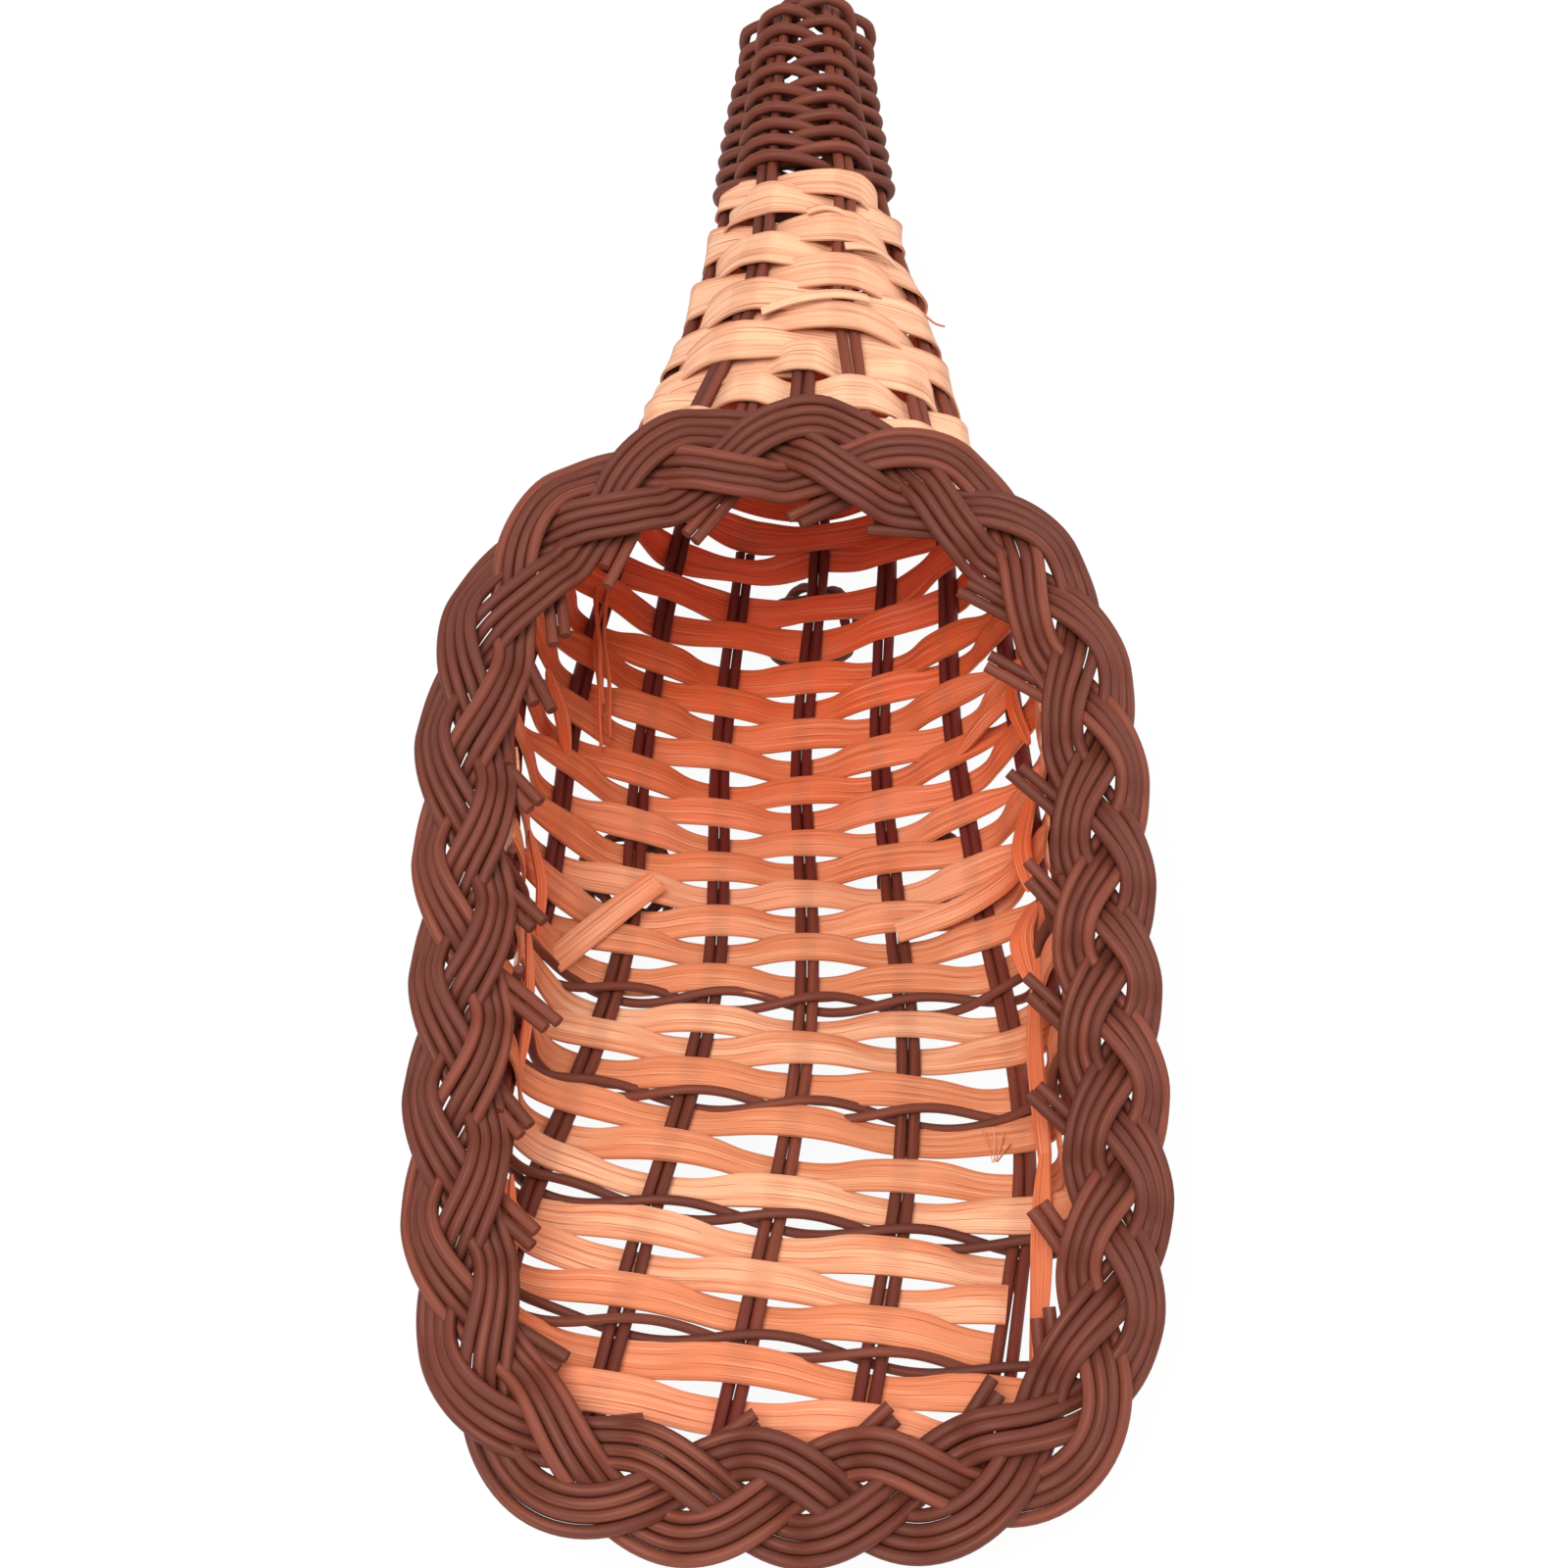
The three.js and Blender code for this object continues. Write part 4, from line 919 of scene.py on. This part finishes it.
# One turn of the neck is pushed aside above the rear ring foot: turns from the start, spread and way
ASIDE_AT, ASIDE_SPREAD, ASIDE_WAY = 2.02, 0.045, 4.5
SPIRAL_PARTS = (1, 2, 3, 4)

# Slivers that lie on the strips of the tail: arc, fraction and lift of each place, half width
TAIL_SLIVERS = (
    (((221.0, -0.455, 1.6), (222.5, -0.490, 2.6), (224.5, -0.530, 2.6), (226.0, -0.565, 1.6)), 1.0),
    (((249.0, -0.500, 1.6), (249.6, -0.525, 2.5), (249.4, -0.560, 1.6)), 0.8),
    (((240.0, -0.545, 1.6), (241.0, -0.580, 2.5), (241.4, -0.620, 1.6)), 0.9),
    (((232.5, -0.650, 1.4), (233.2, -0.685, 2.4), (233.6, -0.702, 4.2)), 0.08),
)


class BASKET_OT_tail_strips(bpy.types.Operator):
    """Weave the strips that go round the neck and the tail"""

    bl_idname = "basket.tail_strips"
    bl_label = "Neck and tail strips"

    def execute(self, context):
        settings = context.scene.basket
        finish = finish_of("wood_chip", chip_finish, settings)
        tail_from = SPIRAL_FROM + neck_rise(TAIL_NUMBERS[0])
        winding_from = WINDING_FROM + WINDING_DELAY
        tail_turns = (winding_from - tail_from) / ROW_PITCH
        height = settings.cord_diameter / 2 + settings.chip_thickness / 2 + SPIRAL_SLACK
        for name, start, turns, numbers, seed, fill, aside in (
            ("neck", SPIRAL_FROM, NECK_TURNS, STAKE_NUMBERS, NECK_SEED, NECK_FILL, ASIDE_WAY),
            ("tail", tail_from, tail_turns, TAIL_NUMBERS, TAIL_SEED, TAIL_FILL, 0.0),
        ):
            rng = np.random.default_rng(seed)
            weave = Weave()
            arc, fraction, lift = spiral_path(
                start + ROW_WIDTH / 2, ROW_PITCH, turns, numbers, height, settings.cord_diameter,
                SPIRAL_PACE, SPIRAL_LEAD)
            run = (fraction - fraction[0]) * float(horn.girth(start))
            lift = soften(lift, SPIRAL_BEND)
            over = np.where(lift > 0, smoothstep(lift / height, *SPIRAL_STAKE_BEHIND), 0.0)
            room = (winding_from - WINDING_ROOM - (arc - settings.chip_width / 2)) / 2
            fill = fill + SPIRAL_WIDER * smoothstep(lift / height, *FACING_IN)
            fill = fill + wobble(rng, run, step=14.0, amount=0.07)
            half = np.minimum(settings.chip_width / 2 * fill, room)
            centre = arc - np.maximum(settings.chip_width / 2 - room, 0)
            centre = centre + wobble(rng, run, step=20.0, amount=0.6)
            centre = centre + aside * np.exp(-((fraction - ASIDE_AT) / ASIDE_SPREAD) ** 2)
            hidden = np.maximum(horn.rim(fraction) + BORDER_ROOM - (centre - half), 0) / 2
            half, centre = half - hidden, centre + hidden
            spine = horn.point(tail_arc(centre, fraction), fraction, lift)
            before, beyond = (
                horn.point(tail_arc(centre + step, fraction), fraction)
                for step in (-SIDE_STEP, SIDE_STEP))
            twist = horn.out(centre, fraction) * wobble(rng, run, step=12.0, amount=0.16)[:, None]
            side = unit(beyond - before) + twist
            keep = half > LEAST_HALF
            # painted shade as a warmer colour inside, painted shade where a stake lies behind, painted light
            # paler on the outer face
            weave.strip(
                spine[keep], side[keep], half[keep], settings.chip_thickness, rng.random() * SPIRAL_TINT,
                shade_warmth(arc, fraction)[keep], over[keep], OUTER_WARMTH)
            for places, width in TAIL_SLIVERS if name == "tail" else ():
                loose_strip(weave, rng, settings, places, width)
            weave.finish(f"{name}_chip", finish, "chip", [f"{name}_strip_{part}" for part in SPIRAL_PARTS])
        return {"FINISHED"}


# Winding: seat of the cord on a stake, pace of its points, thickness, flare over the tail tip, and
# the end that is tucked in
WINDING_SEAT, WINDING_PACE, WINDING_FULLNESS, WINDING_TINT = 1.6, 0.8, 1.08, 0.5
FLARE_LIFT, FLARE_FROM, FLARE_TO = 1.8, 14.0, 4.0
TUCKED_DROP, TUCKED_LENGTH = 3.5, 16.0


class BASKET_OT_tail_winding(bpy.types.Operator):
    """Weave the cord closely round the end of the tail"""

    bl_idname = "basket.tail_winding"
    bl_label = "Tail winding"

    def execute(self, context):
        settings = context.scene.basket
        finish = finish_of("brown_cord", cord_finish, settings)
        rng = np.random.default_rng(WINDING_SEED)
        weave = Weave()
        radius = settings.cord_diameter / 2
        start = WINDING_FROM + WINDING_DELAY + radius
        turns = int((horn.length - WINDING_START - start - radius) / WINDING_PITCH)
        arc, fraction, lift = spiral_path(
            start, WINDING_PITCH, turns, TAIL_NUMBERS, 2 * radius, radius * WINDING_SEAT, WINDING_PACE)
        run = (fraction - fraction[0]) * float(horn.girth(WINDING_FROM))
        flare = FLARE_LIFT * smoothstep(arc, horn.length - FLARE_FROM, horn.length - FLARE_TO)
        tucked = TUCKED_DROP * smoothstep(run, run[-1] - TUCKED_LENGTH, run[-1])
        lift = soften(lift, SPIRAL_BEND) + flare - tucked
        centre = tail_arc(arc + wobble(rng, run, step=12.0, amount=0.15), fraction)
        thickness = radius * (WINDING_FULLNESS + wobble(rng, run, step=15.0, amount=0.03))
        spine = horn.point(centre, fraction, lift)
        weave.cord(spine, horn.out(centre, fraction), thickness, WINDING_TINT)
        weave.finish("tail_cord", finish, "cord", [f"tail_winding_{part}" for part in SPIRAL_PARTS])
        return {"FINISHED"}


# Rim: points of the mouth's edge, and how many neighbours smooth it, all round and at the crown
RIM_POINTS, RIM_SMOOTH, CROWN_SMOOTH = 721, 15, 71


def rim_line(count):
    """Evenly spaced points of the rim with their outward directions in the mouth plane."""
    fraction = np.linspace(-0.5, 0.5, RIM_POINTS)
    points = mouth.point(mouth.rim(fraction), fraction)
    run = run_length(points)
    line = resample(points, run, np.linspace(0, run[-1], count, endpoint=False))
    top = 0.5 + 0.5 * np.cos(2 * np.pi * np.arange(count) / count)
    for width, share in ((RIM_SMOOTH, np.ones(count)), (CROWN_SMOOTH, top**2)):
        kernel = np.hanning(width)
        padded = np.concatenate((line[-width:], line, line[:width]))
        smooth = np.column_stack([
            np.convolve(column, kernel / kernel.sum(), mode="same")[width:-width] for column in padded.T])
        line = line + (smooth - line) * share[:, None]
    ahead = loop_ahead(line)
    return line, unit(np.cross(ahead, horn.mouth_normal)), ahead


def plait_angle(share, strand):
    """Angle of a border strand; the lobes are a little longer on the left than on the right."""
    drift = PLAIT_SHIFT + PLAIT_DRIFT * np.cos(2 * np.pi * (share - PLAIT_DRIFT_PEAK))
    return 2 * np.pi * (PLAIT_REPEATS * share + (strand - drift) / PLAIT_STRANDS + 0.25)


# Plait: swing of a strand to both sides, place outside the rim and above the mouth, each with its
# change on the flanks, roll there, height and squareness of a crossing, and the four cords in a strand
PLAIT_SWING, PLAIT_OUTSET, PLAIT_SEAT = (6.6, -0.8), (6.1, 1.4), (4.6, -0.8)
PLAIT_ROLL, PLAIT_LIFT, PLAIT_BEND, POINTS_PER_REPEAT = 0.75, 1.75, 1.8, 60
PLAIT_CORDS, PLAIT_SPREAD = (-1.5, -0.5, 0.5, 1.5), 1.9

# Stake ends cut off inside the plait: place in a lobe, slant, start outside the rim, spread of the two
# cords, reach, which is longer at the lip and the crown, rise, and drop on the flanks
CUT_PLACE, CUT_SCATTER, CUT_SLANT, CUT_START, CUT_SPREAD = 0.3, 0.15, (0.8, 1.3), 4.0, 1.03
CUT_REACH, CUT_REACH_ENDS, CUT_RISE, CUT_DROP, CUT_POINTS = (12.5, 17.0), 3.5, (0.3, 1.6), 1.5, 9


class BASKET_OT_border(bpy.types.Operator):
    """Plait three strands of four cords round the mouth"""

    bl_idname = "basket.border"
    bl_label = "Plaited border"

    def execute(self, context):
        settings = context.scene.basket
        finish = finish_of("brown_cord", cord_finish, settings)
        radius = settings.cord_diameter / 2
        count = PLAIT_REPEATS * POINTS_PER_REPEAT
        line, outward, ahead = rim_line(count)
        pace = float(np.mean(np.linalg.norm(np.roll(line, -1, axis=0) - line, axis=1)))
        index = np.arange(count)
        normal = horn.mouth_normal
        normals = np.repeat(normal[None], count, axis=0)
        flank = outward[:, 0] ** 2
        swing, outset, seat = (
            mean + change * flank for mean, change in (PLAIT_SWING, PLAIT_OUTSET, PLAIT_SEAT))
        lobes = PLAIT_STRANDS * PLAIT_REPEATS
        for strand in range(PLAIT_STRANDS):
            rng = np.random.default_rng(BORDER_SEED + strand)
            weave = Weave()
            angle = plait_angle(index / count, strand)
            middle = line + outward * (outset + swing * np.sin(angle))[:, None]
            side = unit(np.cross(loop_ahead(middle), normal))
            wave = -PLAIT_LIFT * np.tanh(PLAIT_BEND * np.sin(2 * angle)) / np.tanh(PLAIT_BEND)
            roll = PLAIT_ROLL * flank * np.sin(angle)
            for cord in PLAIT_CORDS:
                shift = cord * radius * PLAIT_SPREAD
                along = shift * np.sum(side * ahead, axis=1)
                own = np.interp(index + along / pace, np.arange(-count, 2 * count), np.tile(wave, 3))
                loose = wobble(rng, index * pace, step=25.0, amount=0.12)
                drop = shift * np.sin(roll) + np.abs(np.sin(roll))
                spine = middle + side * (shift * np.cos(roll) + loose)[:, None]
                spine = spine + normal * (seat + own - drop)[:, None]
                weave.cord(spine, normals, radius, rng.random(), closed=True)
            for lobe in range(strand, lobes, PLAIT_STRANDS):
                share = lobe + CUT_PLACE + rng.uniform(-CUT_SCATTER, CUT_SCATTER)
                place = int(share / lobes * count) % count
                self.cut_end(weave, rng, line[place], outward[place], ahead[place], radius)
            weave.finish(f"border_plait_{strand + 1}", finish, "cord", [f"border_strand_{strand + 1}"])
        return {"FINISHED"}

    def cut_end(self, weave, rng, point, outward, ahead, radius):
        """Two cords of a stake that leave the plait on the inside and are cut off there."""
        normal, flank = horn.mouth_normal, outward[0] ** 2
        normals = np.repeat(normal[None], CUT_POINTS, axis=0)
        aim = unit(ahead * rng.uniform(*CUT_SLANT) - outward)
        across = np.cross(normal, aim)
        for cord in (-1, 1):
            length = rng.uniform(*CUT_REACH) + CUT_REACH_ENDS * (1 - flank)
            start = point + outward * CUT_START + across * cord * radius * CUT_SPREAD
            spine = start + aim * np.linspace(0, length, CUT_POINTS)[:, None]
            spine = spine + normal * (np.linspace(*CUT_RISE, CUT_POINTS) - CUT_DROP * flank)[:, None]
            weave.cord(spine, normals, radius, rng.random())


# Ring feet: stretch of the belly that is searched for the place above each, and the twisted cord
FOOT_FROM, FOOT_PAST_NECK, FOOT_FRACTION, FOOT_SEARCH = 90.0, 40.0, 0.2, (200, 121)
RING_POINTS, RING_ROOM, RING_TINT = 200, 0.25, 0.5


class BASKET_OT_ring_feet(bpy.types.Operator):
    """Twist the three cord rings that the basket stands on"""

    bl_idname = "basket.ring_feet"
    bl_label = "Ring feet"

    def execute(self, context):
        settings = context.scene.basket
        finish = finish_of("brown_cord", cord_finish, settings)
        radius = settings.cord_diameter / 2
        for name in ("left", "right", "rear"):
            weave = Weave()
            lo, hi = (np.array(corner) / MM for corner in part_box(f"ring_foot_{name}"))
            middle = (lo + hi) / 2
            arcs = np.linspace(FOOT_FROM, horn.neck + FOOT_PAST_NECK, FOOT_SEARCH[0])
            fractions = np.linspace(-FOOT_FRACTION, FOOT_FRACTION, FOOT_SEARCH[1])
            belly = horn.point(arcs[:, None], fractions[None])
            i, j = np.unravel_index(np.argmin(np.linalg.norm(belly - middle, axis=-1)), belly.shape[:2])
            arc, fraction = arcs[i], fractions[j]
            out = horn.out(arc, fraction)
            along = unit(horn.point(arc - SIDE_STEP, fraction) - horn.point(arc + SIDE_STEP, fraction))
            along = unit(along - out * (along @ out))
            cross = np.cross(along, out)
            angle = np.linspace(0, 4 * np.pi, RING_POINTS, endpoint=False)
            twist = angle * RING_TWISTS / 2
            radial = along * np.cos(angle)[:, None] + cross * np.sin(angle)[:, None]
            side = radial * np.cos(twist)[:, None] + out * np.sin(twist)[:, None]
            spine = middle + radial * RING_RADIUS + side * (radius + RING_ROOM)
            weave.cord(spine, side, radius, RING_TINT, closed=True)
            for vert in weave.bm.verts:
                vert.co.z = max(vert.co.z, 0.0)
            weave.finish(f"foot_ring_{name}", finish, "cord", [f"ring_foot_{name}"])
        return {"FINISHED"}


# Stage in metres: floor, light of the sky, lamps as place, turn, size and power, and the camera
FLOOR_HALF, FLOOR_COLOUR, FLOOR_ROUGHNESS, FLOOR_GLOW = 3.0, (0.9, 0.9, 0.9, 1), 0.9, 0.93
WHITE, SKY_LIGHT = (1, 1, 1, 1), 0.6
LAMPS = {
    "soft_top": ((-0.25, -0.55, 1.25), (0.42, -0.18, 0.0), 0.7, 18.0),
    "soft_side": ((0.9, 0.2, 0.7), (0.0, 0.95, 0.0), 0.7, 4.0),
}
SENSOR_WIDTH, FOCAL_LENGTH = 36.0, 54.0
CAMERA_PLACE, CAMERA_TILT = (0.0005, -0.2909, 0.3843), math.radians(38.0)


def floor_finish():
    """White floor that is lit by the lamps and looks evenly white in the picture."""
    finish = Finish(bpy.data.materials.new("white_floor"))
    finish.feed(Base_Color=FLOOR_COLOUR, Roughness=FLOOR_ROUGHNESS, Specular_IOR_Level=0.0)
    lit = Wire(finish, finish.surface.outputs[0])
    glow = finish.node("ShaderNodeEmission", None, {"Color": WHITE, "Strength": 1.0})[0]
    mixed = finish.node("ShaderNodeMixShader", None, {0: finish.seen() * FLOOR_GLOW, 1: lit, 2: glow})[0]
    finish.plug(finish.tree.nodes["Material Output"].inputs[0], mixed)
    return finish.owner


class BASKET_OT_stage(bpy.types.Operator):
    """Set the pale floor, the soft light and the camera"""

    bl_idname = "basket.stage"
    bl_label = "Stage"

    def execute(self, context):
        scene = context.scene
        bm = bmesh.new()
        bmesh.ops.create_grid(bm, x_segments=1, y_segments=1, size=FLOOR_HALF)
        mesh = bpy.data.meshes.new("floor")
        bm.to_mesh(mesh)
        bm.free()
        mesh.materials.append(floor_finish())
        floor = bpy.data.objects.new("floor", mesh)
        scene.collection.objects.link(floor)

        scene.world = bpy.data.worlds.new("studio")
        sky = Finish(scene.world, "Background")
        sky.feed(Color=WHITE, Strength=SKY_LIGHT + sky.seen() * (1 - SKY_LIGHT))

        for name, (place, turn, size, energy) in LAMPS.items():
            lamp = bpy.data.lights.new(name, "AREA")
            lamp.shape, lamp.size, lamp.energy = "SQUARE", size, energy
            lit = bpy.data.objects.new(name, lamp)
            lit.location, lit.rotation_euler = place, turn
            scene.collection.objects.link(lit)

        lens = bpy.data.cameras.new("camera")
        lens.sensor_width, lens.lens = SENSOR_WIDTH, FOCAL_LENGTH
        camera = bpy.data.objects.new("camera", lens)
        camera.location, camera.rotation_euler = CAMERA_PLACE, (CAMERA_TILT, 0.0, 0.0)
        scene.collection.objects.link(camera)
        scene.camera = camera
        scene.view_settings.view_transform = "Standard"
        return {"FINISHED"}


class BASKET_PT_panel(bpy.types.Panel):
    """Settings and steps of the basket"""

    bl_label = "Cornucopia basket"
    bl_idname = "BASKET_PT_panel"
    bl_space_type = "VIEW_3D"
    bl_region_type = "UI"
    bl_category = "Basket"

    def draw(self, context):
        for name in BasketSettings.__annotations__:
            self.layout.prop(context.scene.basket, name)
        for operator in STEPS:
            self.layout.operator(operator.bl_idname)


STEPS = (
    BASKET_OT_stage, BASKET_OT_stakes, BASKET_OT_pairings, BASKET_OT_front_strips,
    BASKET_OT_belly_strips, BASKET_OT_tail_strips, BASKET_OT_tail_winding, BASKET_OT_border,
    BASKET_OT_ring_feet,
)


def register():
    for item in (BasketSettings, *STEPS, BASKET_PT_panel):
        bpy.utils.register_class(item)
    bpy.types.Scene.basket = bpy.props.PointerProperty(type=BasketSettings)


def unregister():
    del bpy.types.Scene.basket
    for item in (BASKET_PT_panel, *reversed(STEPS), BasketSettings):
        bpy.utils.unregister_class(item)


def main():
    register()
    for step in STEPS:
        group, name = step.bl_idname.split(".")
        getattr(getattr(bpy.ops, group), name)()


if __name__ == "__main__":
    main()
